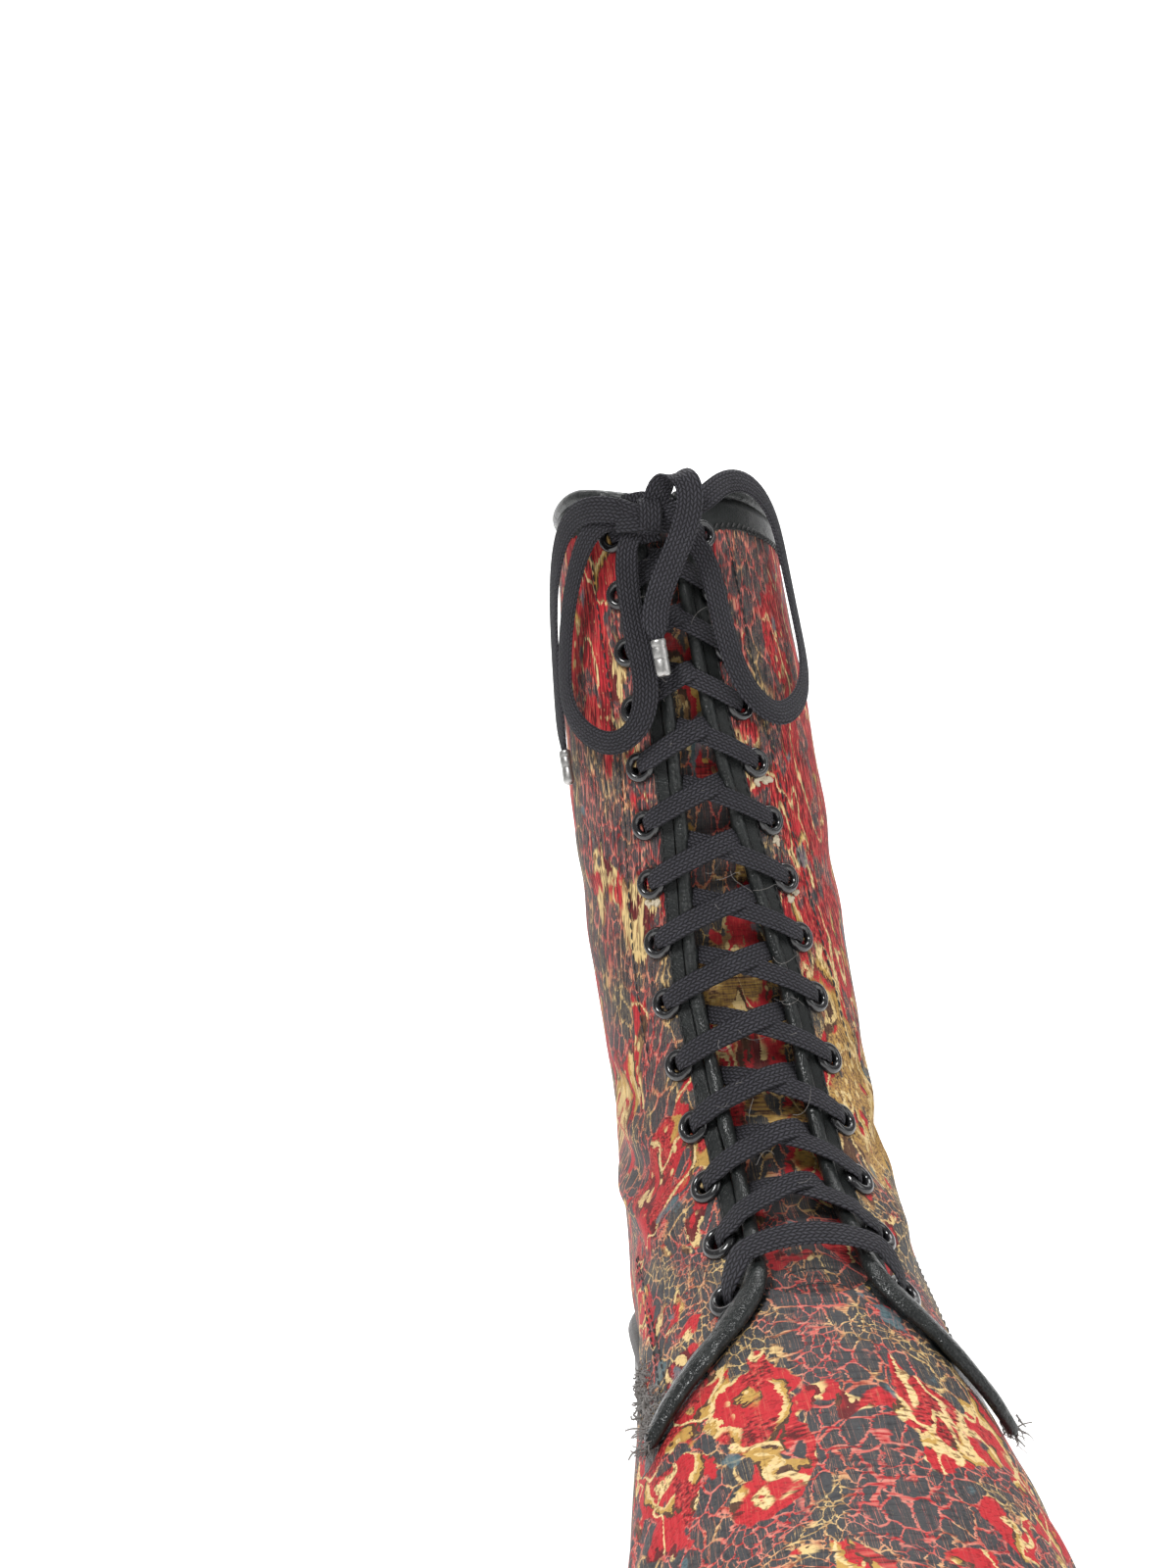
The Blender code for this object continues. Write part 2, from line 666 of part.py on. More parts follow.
roll = []
edge = {side: on_front(8.0, side * throat_edge(8.0))[0] for side in (-1, 1)}
for side in (-1, 1):
    back, run = float(back_u(COLLAR_Z)), []
    for a in np.linspace(0, 1, 14):
        u = back + (edge[side][0] - back) * (a * a * (1.6 - 0.6 * a))
        drop = max(0.0, (u - (edge[side][0] - 14)) / 14)
        z = COLLAR_Z - (COLLAR_Z - edge[side][2]) * drop**2
        x = float(wall_x(u, z, side)) if 0 < a < 1 else (float(middle(u, z)) if a == 0 else edge[side][1])
        inward = np.array([float(middle(u, z)) - x, 56.0 - u])
        inward /= max(np.linalg.norm(inward), 1e-6)
        run.append((u + inward[1] * WALL / 2, x + inward[0] * WALL / 2, z + ROLL_R + GAP + 0.15))
    roll = run[::-1] + roll[1:] if side < 0 else roll + run[1:]
tube("collar_roll", resampled(roll, 32), ROLL_R, BLACK)


# -------------------------------------------------------------------- lacing
def ribbon(name, stops, count, wide=LACE_W, thick=LACE_T):
    """Flat strand through stops (s, h, lift), its broad side on the boot's face."""
    stops = np.array(stops, float)
    t = np.r_[0, np.cumsum(np.hypot(np.diff(stops[:, 0]), np.diff(stops[:, 1])))]
    at = np.linspace(0, t[-1], count)
    s, h, lift = [smooth(t, stops[:, k], at) for k in range(3)]
    pn = [on_front(a, b, c) for a, b, c in zip(s, h, lift)]
    p, n = np.array([k[0] for k in pn]), np.array([k[1] for k in pn])
    run = np.gradient(p, axis=0)
    run /= np.linalg.norm(run, axis=1)[:, None]
    across = np.cross(run, n)
    across /= np.linalg.norm(across, axis=1)[:, None]
    up = np.cross(across, run)
    points, faces = [], []
    for k in range(count):
        for a, b in ((-1, -1), (1, -1), (1, 1), (-1, 1)):
            points.append(p[k] + across[k] * a * wide / 2 + up[k] * b * thick / 2)
    for k in range(count - 1):
        for e in range(4):
            faces.append([4 * k + e, 4 * k + (e + 1) % 4, 4 * k + 4 + (e + 1) % 4, 4 * k + 4 + e])
    faces += [[3, 2, 1, 0], [4 * count - 4 + e for e in range(4)]]
    return mesh_of(name, points, faces)


def joined(name, first, second, mat):
    a, b = add(name + "_a", first, mat), add(name + "_b", second, mat)
    m = a.modifiers.new("join", "BOOLEAN")
    m.operation, m.object, m.solver = "UNION", b, "EXACT"
    me = frozen(a)
    bpy.data.objects.remove(b, do_unlink=True)
    bm = bmesh.new()
    bm.from_mesh(me)
    bmesh.ops.remove_doubles(bm, verts=bm.verts, dist=0.00002)
    bmesh.ops.triangulate(bm, faces=bm.faces)
    bm.to_mesh(me)
    bm.free()
    o = bpy.data.objects.new(name, me)
    parts.objects.link(o)
    return o


OVER, UNDER = 4.7, 3.8          # lift of the strands' middles at a crossing


for row in range(1, ROWS):
    s0, e0, g0 = ROW_S[row - 1], spread(row), half_gap(ROW_S[row - 1])
    rise = (ROW_S[row - 1] - ROW_S[row - 2]) if row > 1 else 9.0
    e1 = spread(row - 1)
    strands = []
    for side, mid in ((-1, OVER), (1, UNDER)):
        def stop(h, lift):
            """h counts from this strand's own eyelet side toward the other."""
            k = (e0 - h) / (e0 + e1)
            return (s0 - rise * k, side * h, lift)
        far = -max(g0 - 2.6, 0.6)
        strands.append(ribbon("strand", (
            stop(e0 - 5.4, 2.6 if e0 - 5.4 > g0 + 2 * PIPE_R + 1 else over_pipe(s0) - 0.2),
            stop(g0 + PIPE_R + 1.0, over_pipe(s0)), stop(g0, over_pipe(s0) + 0.2),
            stop(0.0, mid + pipe_lift(s0) - 0.5), stop(far, mid + pipe_lift(s0) - 1.0)), 6))
    joined(f"lace_row_{row:02d}", strands[0], strands[1], BRAID)
s0, e0, g0 = ROW_S[-1], spread(ROWS), half_gap(ROW_S[-1])
top = over_pipe(s0 - 3.0) + 0.4
bar = [(s0 - 4.5, -(e0 - 4.4), 4.2), (s0 - 7.0, -(g0 + PIPE_R + 1.0), top), (s0 - 8.0, 0.0, top),
       (s0 - 7.0, g0 + PIPE_R + 1.0, top), (s0 - 4.5, e0 - 4.4, 4.2)]
add("lace_row_14", ribbon("lace_row_14", bar, 9), BRAID)

# ---------------------------------------------------------------------- bow
KNOT = (ROW_S[0] - 3.0, -2.5, 9.6)
p, n = on_front(*KNOT)
bm = bmesh.new()
bmesh.ops.create_uvsphere(bm, u_segments=12, v_segments=7, radius=1.0)
knot_me = bpy.data.meshes.new("lace_knot")
bm.to_mesh(knot_me)
bm.free()
knot_me.transform(Matrix.Translation(world(p)) @ turned(n).to_track_quat("Z", "Y").to_matrix().to_4x4()
                  @ Matrix.Diagonal((8.5 * MM, 6.0 * MM, 4.2 * MM, 1)))
add("lace_knot", knot_me, BRAID)

# routes of the free lace: down the front line from the first eyelets, sideways, lift
ROUTES = {
    "lace_loop_lateral": ((-5, 8.5, 12.0), (-12, 15, 10.5), (-14, 22, 9.0), (-8, 29, 7.0), (6, 33, 5.0),
                          (24, 35, 4.2), (40, 34.5, 4.2), (51, 29, 4.5), (54, 22, 5.0), (48, 15.5, 6.0),
                          (36, 12, 7.0), (20, 10.5, 8.0), (6, 8.5, 9.0), (2.5, 7.0, 9.5)),
    "lace_loop_medial": ((-3, -13.5, 9.0), (4, -19, 7.5), (18, -25.5, 6.5), (34, -30, 6.0), (48, -31, 5.6),
                         (58, -26, 5.8), (61, -19, 6.4), (56, -12.5, 7.6), (44, -9.5, 8.2), (28, -9.5, 8.6),
                         (13, -8.5, 9.4), (5.5, -7.0, 9.8)),
    "lace_end_centre": ((-10, 1.0, 10.5), (-15.5, 3.5, 12.5), (-15.0, 7.0, 17.0), (-7, 7.5, 19.0),
                        (4, 4.0, 17.0), (16, -1.0, 13.5), (26, -4.2, 11.6), (34, -4.8, 11.0)),
    "lace_end_medial": ((-7, -12.0, 11.0), (-6, -19, 8.5), (2, -27, 6.0), (16, -33, 4.2), (32, -35.5, 3.8),
                        (48, -36.5, 3.8), (60, -36.5, 3.8)),
}
COUNTS = {"lace_loop_lateral": 22, "lace_loop_medial": 20, "lace_end_centre": 11, "lace_end_medial": 12}
for name, route in ROUTES.items():
    pts = resampled([on_front(ROW_S[0] + a, b, c)[0] for a, b, c in route], COUNTS[name])
    tube(name, pts, CORD_R, BRAID)
    if "end" in name:
        way = pts[-1] - pts[-2]
        way /= np.linalg.norm(way)
        a, b = pts[-1] + way * GAP, pts[-1] + way * (GAP + 10.0)
        tube(name.replace("lace_end", "aglet"), [a, b], 2.0, SILVER)

for o in parts.objects:
    if o.type == "MESH":
        o.data.shade_smooth()
        o.data.set_sharp_from_angle(angle=math.radians(40))
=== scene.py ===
"""Looks of the laced mid-calf boot: printed net leather, black trim, braided lace."""
import math

import bmesh
import bpy
import numpy as np
from mathutils import Euler, Matrix, Vector

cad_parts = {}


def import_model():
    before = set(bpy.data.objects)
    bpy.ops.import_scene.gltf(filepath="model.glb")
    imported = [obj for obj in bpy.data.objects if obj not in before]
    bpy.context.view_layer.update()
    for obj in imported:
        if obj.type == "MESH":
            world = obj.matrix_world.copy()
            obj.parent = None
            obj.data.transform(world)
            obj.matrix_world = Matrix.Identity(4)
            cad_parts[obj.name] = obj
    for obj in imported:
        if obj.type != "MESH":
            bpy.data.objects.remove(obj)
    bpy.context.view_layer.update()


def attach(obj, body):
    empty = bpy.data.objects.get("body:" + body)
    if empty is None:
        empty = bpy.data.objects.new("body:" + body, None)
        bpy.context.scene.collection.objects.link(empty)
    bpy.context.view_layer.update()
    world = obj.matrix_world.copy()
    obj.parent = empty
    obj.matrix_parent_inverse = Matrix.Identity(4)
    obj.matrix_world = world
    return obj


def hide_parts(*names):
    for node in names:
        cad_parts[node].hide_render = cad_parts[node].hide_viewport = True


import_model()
rng = np.random.default_rng(7)

# ------------------------------------------------------------------ sizes, mm
MM = 0.001
U_MID, X_MID = 140.766, -2.433
WALL, GAP, ROWS, PITCH = 2.2, 0.3, 14, 17.5
PIPE_R, ROLL_R, COLLAR_Z, TUCK_H = 2.0, 2.2, 303.0, 16.0
LACE_W, LACE_T = 6.2, 1.3
SOLE_LIP = 1.2

FRONT = (      # u, z, crown
    (113.0, 306.0, 50.0), (112.0, 289.0, 50.0), (111.5, 255.0, 50.0), (112.5, 221.0, 50.0),
    (115.5, 186.0, 49.0), (123.5, 154.0, 47.0), (137.0, 125.5, 44.0), (160.5, 104.5, 42.0),
    (181.5, 93.5, 42.0), (205.0, 82.5, 42.0), (230.0, 71.5, 42.0), (252.0, 62.5, 41.0),
    (268.0, 53.0, 40.0), (277.0, 41.5, 40.0), (280.0, 26.2, 40.0),
)
BACK = (       # z, u, crown
    (15.0, 3.6, 38.0), (36.0, 2.4, 38.0), (50.0, 0.7, 39.0), (62.0, 0.0, 40.0), (80.0, 2.0, 43.0),
    (100.0, 6.5, 46.0), (120.0, 10.0, 50.0), (140.0, 11.5, 52.0), (160.0, 11.0, 54.0),
    (200.0, 8.0, 56.0), (240.0, 4.5, 57.0), (280.0, 1.5, 58.0), (310.0, 0.0, 58.0),
)
FOOT = (       # u, medial half width, lateral half width, curve of the last, draw-in
    (0.0, 32.5, 32.5, 0.0, 0.05), (40.0, 34.0, 34.0, 0.3, 0.06), (75.0, 34.5, 34.5, 0.7, 0.12),
    (105.0, 36.0, 35.5, 1.2, 0.15), (135.0, 39.0, 36.2, 1.8, 0.12), (165.0, 42.5, 38.2, 2.2, 0.07),
    (190.0, 45.8, 42.0, 1.8, 0.055), (210.0, 47.4, 45.0, 0.8, 0.055), (235.0, 46.5, 46.5, -1.5, 0.055),
    (260.0, 44.0, 44.5, -5.0, 0.055), (282.0, 40.5, 42.0, -9.0, 0.055),
)
SHAFT = (      # z, half width, lean, turn
    (60.0, 36.0, 0.0, 0.0), (95.0, 38.0, 0.0, 0.0), (112.0, 37.2, 0.0, -0.6), (135.0, 39.3, -0.7, -1.6),
    (167.0, 40.8, -2.6, -3.3), (202.0, 41.5, -5.0, -5.2), (238.0, 41.0, -7.6, -7.4),
    (272.0, 38.4, -9.4, -10.2), (306.0, 35.8, -10.8, -13.2),
)
SOLE = (       # u, top, bottom
    (-6.0, 36.0, 0.0), (30.0, 36.0, 0.0), (68.0, 34.6, 0.0), (72.0, 34.2, 24.0), (90.0, 31.3, 21.5),
    (110.0, 27.3, 17.0), (130.0, 23.0, 11.0), (150.0, 19.6, 4.5), (165.0, 17.8, 0.0), (190.0, 16.5, 0.0),
    (213.0, 16.7, 0.0), (235.0, 18.3, 1.8), (255.0, 21.0, 5.0), (270.0, 23.9, 8.6), (286.0, 27.4, 13.2),
)
LACING = (     # row, eyelet half spacing, half gap between the pipings
    (0.0, 12.6, 3.0), (1.0, 13.2, 3.3), (4.0, 15.4, 3.7), (5.0, 16.9, 5.0), (6.0, 18.1, 6.1),
    (7.0, 19.5, 8.0), (8.0, 20.4, 9.5), (9.0, 21.0, 10.6), (10.0, 20.6, 10.2), (11.0, 19.9, 9.8),
    (12.0, 19.6, 9.4), (13.0, 19.6, 9.8), (14.0, 20.4, 10.6), (15.0, 21.0, 11.5),
)
FLARE = {      # piping over the vamp: u, z
    1: ((183.5, 84.5), (186.5, 78.0), (188.0, 71.0), (187.5, 63.5)),
    -1: ((184.5, 84.5), (187.0, 78.0), (189.0, 71.5), (190.5, 66.0)),
}


# ------------------------------------------------------------- smooth tables
def col(table, k):
    return np.array([row[k] for row in table], float)


def smooth(xs, ys, x):
    xs, ys = np.asarray(xs, float), np.asarray(ys, float)
    x = np.clip(np.asarray(x, float), xs[0], xs[-1])
    h, d = np.diff(xs), np.diff(ys) / np.diff(xs)
    m = np.zeros_like(xs)
    m[0], m[-1] = d[0], d[-1]
    for k in range(1, len(xs) - 1):
        if d[k - 1] * d[k] > 0:
            a, b = 2 * h[k] + h[k - 1], h[k] + 2 * h[k - 1]
            m[k] = (a + b) / (a / d[k - 1] + b / d[k])
    i = np.clip(np.searchsorted(xs, x) - 1, 0, len(xs) - 2)
    t = (x - xs[i]) / h[i]
    return ((2 * t**3 - 3 * t**2 + 1) * ys[i] + (t**3 - 2 * t**2 + t) * h[i] * m[i]
            + (3 * t**2 - 2 * t**3) * ys[i + 1] + (t**3 - t**2) * h[i] * m[i + 1])


def spline(xs, ys, x):
    xs, ys = np.asarray(xs, float), np.asarray(ys, float)
    n, h = len(xs), np.diff(xs)
    a, b = np.eye(n), np.zeros(n)
    for k in range(1, n - 1):
        a[k, k - 1], a[k, k], a[k, k + 1] = h[k - 1], 2 * (h[k - 1] + h[k]), h[k]
        b[k] = 6 * ((ys[k + 1] - ys[k]) / h[k] - (ys[k] - ys[k - 1]) / h[k - 1])
    m = np.linalg.solve(a, b)
    x = np.asarray(x, float)
    i = np.clip(np.searchsorted(xs, x) - 1, 0, n - 2)
    p, q = xs[i + 1] - x, x - xs[i]
    return (m[i] * p**3 + m[i + 1] * q**3) / (6 * h[i]) + (
        ys[i] / h[i] - m[i] * h[i] / 6) * p + (ys[i + 1] / h[i] - m[i + 1] * h[i] / 6) * q


def step(a, b, x):
    t = np.clip((np.asarray(x, float) - a) / (b - a), 0, 1)
    return t * t * (3 - 2 * t)


# ---------------------------------------------------------- the upper's form
def front_line(samples=1000):
    u, z, r = col(FRONT, 0), col(FRONT, 1), col(FRONT, 2)
    chord = np.r_[0, np.cumsum(np.hypot(np.diff(u), np.diff(z)))]
    t = np.linspace(0, chord[-1], 4 * samples)
    fu, fz = spline(chord, u, t), spline(chord, z, t)
    arc = np.r_[0, np.cumsum(np.hypot(np.diff(fu), np.diff(fz)))]
    s = np.linspace(0, arc[-1], samples)
    tt = np.interp(s, arc, t)
    fu, fz, fr = spline(chord, u, tt), spline(chord, z, tt), smooth(chord, r, tt)
    du, dz = np.gradient(fu, s), np.gradient(fz, s)
    n = np.hypot(du, dz)
    return s, fu, fz, dz / n, -du / n, fr


LINE_S, LINE_U, LINE_Z, LINE_NU, LINE_NZ, LINE_R = front_line()
S_END = float(LINE_S[-1])


def front(s):
    return [np.interp(s, LINE_S, k) for k in (LINE_U, LINE_Z, LINE_NU, LINE_NZ, LINE_R)]


def back_u(z):
    return smooth(col(BACK, 0), col(BACK, 1), z)


def sole_top(u):
    return smooth(col(SOLE, 0), col(SOLE, 1), u)


def sole_bottom(u):
    return np.interp(u, col(SOLE, 0), col(SOLE, 2))


def middle(u, z):
    turn = smooth(col(SHAFT, 0), col(SHAFT, 3), z) * (np.asarray(u) - 56.0) / 56.0
    return smooth(col(FOOT, 0), col(FOOT, 3), u) + smooth(col(SHAFT, 0), col(SHAFT, 2), z) + turn


def half_width(u, z, side):
    foot = np.where(np.asarray(side) > 0, smooth(col(FOOT, 0), col(FOOT, 2), u),
                    smooth(col(FOOT, 0), col(FOOT, 1), u))
    shaft = smooth(col(SHAFT, 0), col(SHAFT, 1), z)
    b = step(55, 118, z)
    k = np.clip((z - sole_top(u)) / TUCK_H, 0, 1)
    draw = smooth(col(FOOT, 0), col(FOOT, 4), u)
    return (foot * (1 - b) + shaft * b) * (1 - draw * (1 - k) ** 2)


def crown(d, r):
    k = 1 - np.clip(d / r, 0, 1)
    return np.sqrt(np.clip(1 - k * k, 0, 1))


def from_front(u, z):
    """Distance in from the front line, the crown there, and the place on the line."""
    u, z = np.ravel(u), np.ravel(z)
    d, r, s = np.zeros(len(u)), np.zeros(len(u)), np.zeros(len(u))
    for k in range(0, len(u), 4000):
        a, b = u[k:k + 4000, None], z[k:k + 4000, None]
        i = np.argmin((a - LINE_U) ** 2 + (b - LINE_Z) ** 2, axis=1)
        d[k:k + 4000] = (a[:, 0] - LINE_U[i]) * LINE_NU[i] + (b[:, 0] - LINE_Z[i]) * LINE_NZ[i]
        r[k:k + 4000], s[k:k + 4000] = LINE_R[i], LINE_S[i]
    return np.maximum(d, 0), r, s


def wall_x(u, z, side):
    u, z = np.asarray(u, float), np.asarray(z, float)
    d, r, _ = from_front(u, z)
    d, r = d.reshape(u.shape), r.reshape(u.shape)
    rb = smooth(col(BACK, 0), col(BACK, 2), z)
    return middle(u, z) + side * half_width(u, z, side) * crown(d, r) * crown(u - back_u(z), rb)


def on_front(s, h, lift=0.0):
    """Points near the front line, h to the lateral side, lift off the face; and normals."""
    s, h = np.broadcast_arrays(np.asarray(s, float), np.asarray(h, float))

    def point(s, h):
        u0, z0, nu, nz, r = front(s)
        u, z = u0, z0
        for _ in range(2):
            k = np.clip(np.abs(h) / half_width(u, z, np.sign(h) + 0.5), 0, 0.98)
            d = r * (1 - np.sqrt(1 - k * k))
            u, z = u0 + nu * d, z0 + nz * d
        return np.stack([u, middle(u, z) + h, z], -1)

    p, e = point(s, h), 0.5
    n = np.cross(point(s + e, h) - point(s - e, h), point(s, h + e) - point(s, h - e))
    n /= np.linalg.norm(n, axis=-1, keepdims=True)
    _, _, nu, nz, _ = front(s)
    flip = np.where(n[..., 0] * nu + n[..., 2] * nz > 0, -1.0, 1.0)
    n = n * flip[..., None]
    return p + np.asarray(lift, float)[..., None] * n, n


def on_side(u, z, side, lift=0.0):
    u, z = np.broadcast_arrays(np.asarray(u, float), np.asarray(z, float))
    e = 0.4
    x = wall_x(u, z, side)
    gu = (wall_x(u + e, z, side) - wall_x(u - e, z, side)) / (2 * e)
    gz = (wall_x(u, z + e, side) - wall_x(u, z - e, side)) / (2 * e)
    n = side * np.stack([-gu, np.ones_like(gu), -gz], -1)
    n /= np.linalg.norm(n, axis=-1, keepdims=True)
    return np.stack([u, x, z], -1) + np.asarray(lift, float)[..., None] * n, n


def spread(row):
    return float(smooth(col(LACING, 0), col(LACING, 1), row))


def eyelet_rows():
    s = [float(np.interp(-289.5, -LINE_Z, LINE_S))]
    for row in range(2, ROWS + 1):
        here, _ = on_front(s[-1], spread(row - 1))
        a, b = s[-1] + 5, s[-1] + 40
        for _ in range(40):
            m = (a + b) / 2
            far = np.linalg.norm(on_front(m, spread(row))[0] - here) > PITCH
            a, b = (a, m) if far else (m, b)
        s.append((a + b) / 2)
    return np.array(s)


ROW_S = eyelet_rows()


def row_at(s):
    return np.interp(s, np.r_[ROW_S[0] - PITCH, ROW_S, ROW_S[-1] + PITCH], np.arange(0, ROWS + 2))


def half_gap(s):
    return smooth(col(LACING, 0), col(LACING, 2), row_at(s))


THROAT_S = float(ROW_S[-1] + 5.0)


def throat_edge(s):
    k = np.clip((s - (THROAT_S - 13.0)) / 13.0, 0, 1)
    return (half_gap(s) + 2 * PIPE_R + GAP) * np.sqrt(np.maximum(0.0, 1 - k * k))


def pipe_lift(s):
    return 0.5 + step(ROW_S[-1] - 26, ROW_S[-1] - 2, s) * (PIPE_R - 0.15)


def over_pipe(s):
    return pipe_lift(s) + PIPE_R + LACE_T / 2 + 0.35


def world(p):
    p = np.asarray(p, float)
    return np.stack([p[..., 1] - X_MID, U_MID - p[..., 0], p[..., 2]], -1) * MM


def turned(n):
    n = np.asarray(n, float)
    return np.stack([n[..., 1], -n[..., 0], n[..., 2]], -1)


def resampled(points, count):
    p = np.array(points, float)
    t = np.r_[0, np.cumsum(np.linalg.norm(np.diff(p, axis=0), axis=1) ** 0.5)]
    fine = np.linspace(0, t[-1], 40 * len(p))
    q = np.stack([spline(t, p[:, k], fine) for k in range(p.shape[1])], 1)
    arc = np.r_[0, np.cumsum(np.linalg.norm(np.diff(q[:, :3], axis=0), axis=1))]
    at = np.linspace(0, arc[-1], count)
    return np.stack([np.interp(at, arc, q[:, k]) for k in range(p.shape[1])], 1)


# -------------------------------------------------------------- camera first
cam_data = bpy.data.cameras.new("camera")
cam_data.lens, cam_data.sensor_width = 27.05, 36.0
cam_data.clip_start, cam_data.clip_end = 0.01, 50
cam = bpy.data.objects.new("camera", cam_data)
bpy.context.scene.collection.objects.link(cam)
turn = Euler([math.radians(k) for k in (4.09, 2.32, -1.73)], "XYZ").to_matrix()
right, ahead, up = turn.col[0], turn.col[1], turn.col[2]
cam.matrix_world = Matrix.Translation((-0.05256, -0.31229, 0.19181)) @ Matrix((
    (right[0], up[0], -ahead[0]), (right[1], up[1], -ahead[1]), (right[2], up[2], -ahead[2]))).to_4x4()
bpy.context.scene.camera = cam
bpy.context.scene.view_settings.view_transform = "Standard"


# ------------------------------------------------------------ node shorthand
class Sock:
    def __init__(self, tree, socket):
        self.t, self.s = tree, socket

    def __add__(self, o): return self.t.math("ADD", self, o)
    def __radd__(self, o): return self.t.math("ADD", o, self)
    def __sub__(self, o): return self.t.math("SUBTRACT", self, o)
    def __rsub__(self, o): return self.t.math("SUBTRACT", o, self)
    def __mul__(self, o): return self.t.math("MULTIPLY", self, o)
    def __rmul__(self, o): return self.t.math("MULTIPLY", o, self)
    def __truediv__(self, o): return self.t.math("DIVIDE", self, o)


class Tree:
    def __init__(self, name):
        self.mat = bpy.data.materials.new(name)
        self.mat.use_nodes = True
        self.nt = self.mat.node_tree
        self.bsdf = self.nt.nodes["Principled BSDF"]

    def put(self, value, socket):
        if isinstance(value, Sock):
            self.nt.links.new(value.s, socket)
        elif isinstance(value, tuple) and len(value) == 3 and socket.type == "RGBA":
            socket.default_value = (*value, 1)
        else:
            socket.default_value = value

    def node(self, kind, **props):
        n = self.nt.nodes.new(kind)
        for k, v in props.items():
            setattr(n, k, v)
        return n

    def math(self, op, a, b=None, clamp=False):
        n = self.node("ShaderNodeMath", operation=op, use_clamp=clamp)
        self.put(a, n.inputs[0])
        if b is not None:
            self.put(b, n.inputs[1])
        return Sock(self, n.outputs[0])

    def smooth(self, x, lo, hi):
        n = self.node("ShaderNodeMapRange", interpolation_type="SMOOTHSTEP")
        flip = lo > hi
        self.put(x, n.inputs["Value"])
        n.inputs["From Min"].default_value, n.inputs["From Max"].default_value = (hi, lo) if flip else (lo, hi)
        n.inputs["To Min"].default_value, n.inputs["To Max"].default_value = (1, 0) if flip else (0, 1)
        return Sock(self, n.outputs[0])

    def vec(self, x, y, z):
        n = self.node("ShaderNodeCombineXYZ")
        for k, v in enumerate((x, y, z)):
            self.put(v, n.inputs[k])
        return Sock(self, n.outputs[0])

    def sep(self, v):
        n = self.node("ShaderNodeSeparateXYZ")
        self.put(v, n.inputs[0])
        return [Sock(self, n.outputs[k]) for k in range(3)]

    def vmath(self, op, a, b=None, scale=None):
        n = self.node("ShaderNodeVectorMath", operation=op)
        self.put(a, n.inputs[0])
        if b is not None:
            self.put(b, n.inputs[1])
        if scale is not None:
            self.put(scale, n.inputs["Scale"])
        return Sock(self, n.outputs[0])

    def times(self, v, k):
        return self.vmath("MULTIPLY", v, k)

    def plus(self, v, k):
        return self.vmath("ADD", v, k)

    def noise(self, v, scale, detail=2.0, rough=0.5, bend=0.0, colour=False):
        n = self.node("ShaderNodeTexNoise")
        self.put(v, n.inputs["Vector"])
        n.inputs["Scale"].default_value = scale
        n.inputs["Detail"].default_value = detail
        n.inputs["Roughness"].default_value = rough
        n.inputs["Distortion"].default_value = bend
        return Sock(self, n.outputs[1 if colour else 0])

    def warp(self, v, scale, amount):
        c = self.noise(v, scale, 1.0, colour=True)
        c = self.vmath("SUBTRACT", c, (0.5, 0.5, 0.5))
        return self.plus(v, self.times(c, (amount, amount, amount)))

    def voro(self, v, scale, feature="F1", rand=1.0, out="Distance"):
        n = self.node("ShaderNodeTexVoronoi", feature=feature)
        self.put(v, n.inputs["Vector"])
        n.inputs["Scale"].default_value = scale
        n.inputs["Randomness"].default_value = rand
        return Sock(self, n.outputs[out])

    def mix(self, f, a, b):
        n = self.node("ShaderNodeMix", data_type="RGBA")
        self.put(f, n.inputs[0])
        self.put(a, n.inputs[6])
        self.put(b, n.inputs[7])
        return Sock(self, n.outputs[2])

    def ramp(self, f, stops, mode="LINEAR"):
        n = self.node("ShaderNodeValToRGB")
        n.color_ramp.interpolation = mode
        el = n.color_ramp.elements
        while len(el) < len(stops):
            el.new(0.5)
        for e, (at, c) in zip(el, stops):
            e.position, e.color = at, (*c, 1)
        self.put(f, n.inputs[0])
        return Sock(self, n.outputs[0])

    def attr(self, name):
        n = self.node("ShaderNodeAttribute", attribute_name=name)
        return Sock(self, n.outputs["Vector"])

    def here(self):
        """Object place in mm."""
        n = self.node("ShaderNodeTexCoord")
        return self.times(Sock(self, n.outputs["Object"]), (1000.0, 1000.0, 1000.0))

    def bump(self, h, dist, strength=1.0, after=None):
        n = self.node("ShaderNodeBump")
        n.inputs["Strength"].default_value = strength
        n.inputs["Distance"].default_value = dist * MM
        self.put(h, n.inputs["Height"])
        if after is not None:
            self.put(after, n.inputs["Normal"])
        return Sock(self, n.outputs[0])

    def done(self, colour, rough, normal=None, **fixed):
        b = self.bsdf.inputs
        self.put(colour, b["Base Color"])
        self.put(rough, b["Roughness"])
        if normal is not None:
            self.put(normal, b["Normal"])
        for k, v in fixed.items():
            b[k.replace("_", " ")].default_value = v
        return self.mat


# ------------------------------------------------------------------ materials
RED, CORAL, CREAM = (0.47, 0.022, 0.030), (0.56, 0.105, 0.080), (0.67, 0.49, 0.22)
GOLD, TAN, BROWN = (0.47, 0.28, 0.070), (0.31, 0.175, 0.075), (0.085, 0.040, 0.024)
MAROON, COAL, TEAL = (0.125, 0.014, 0.016), (0.050, 0.050, 0.053), (0.055, 0.115, 0.140)
PINK = (0.58, 0.22, 0.17)


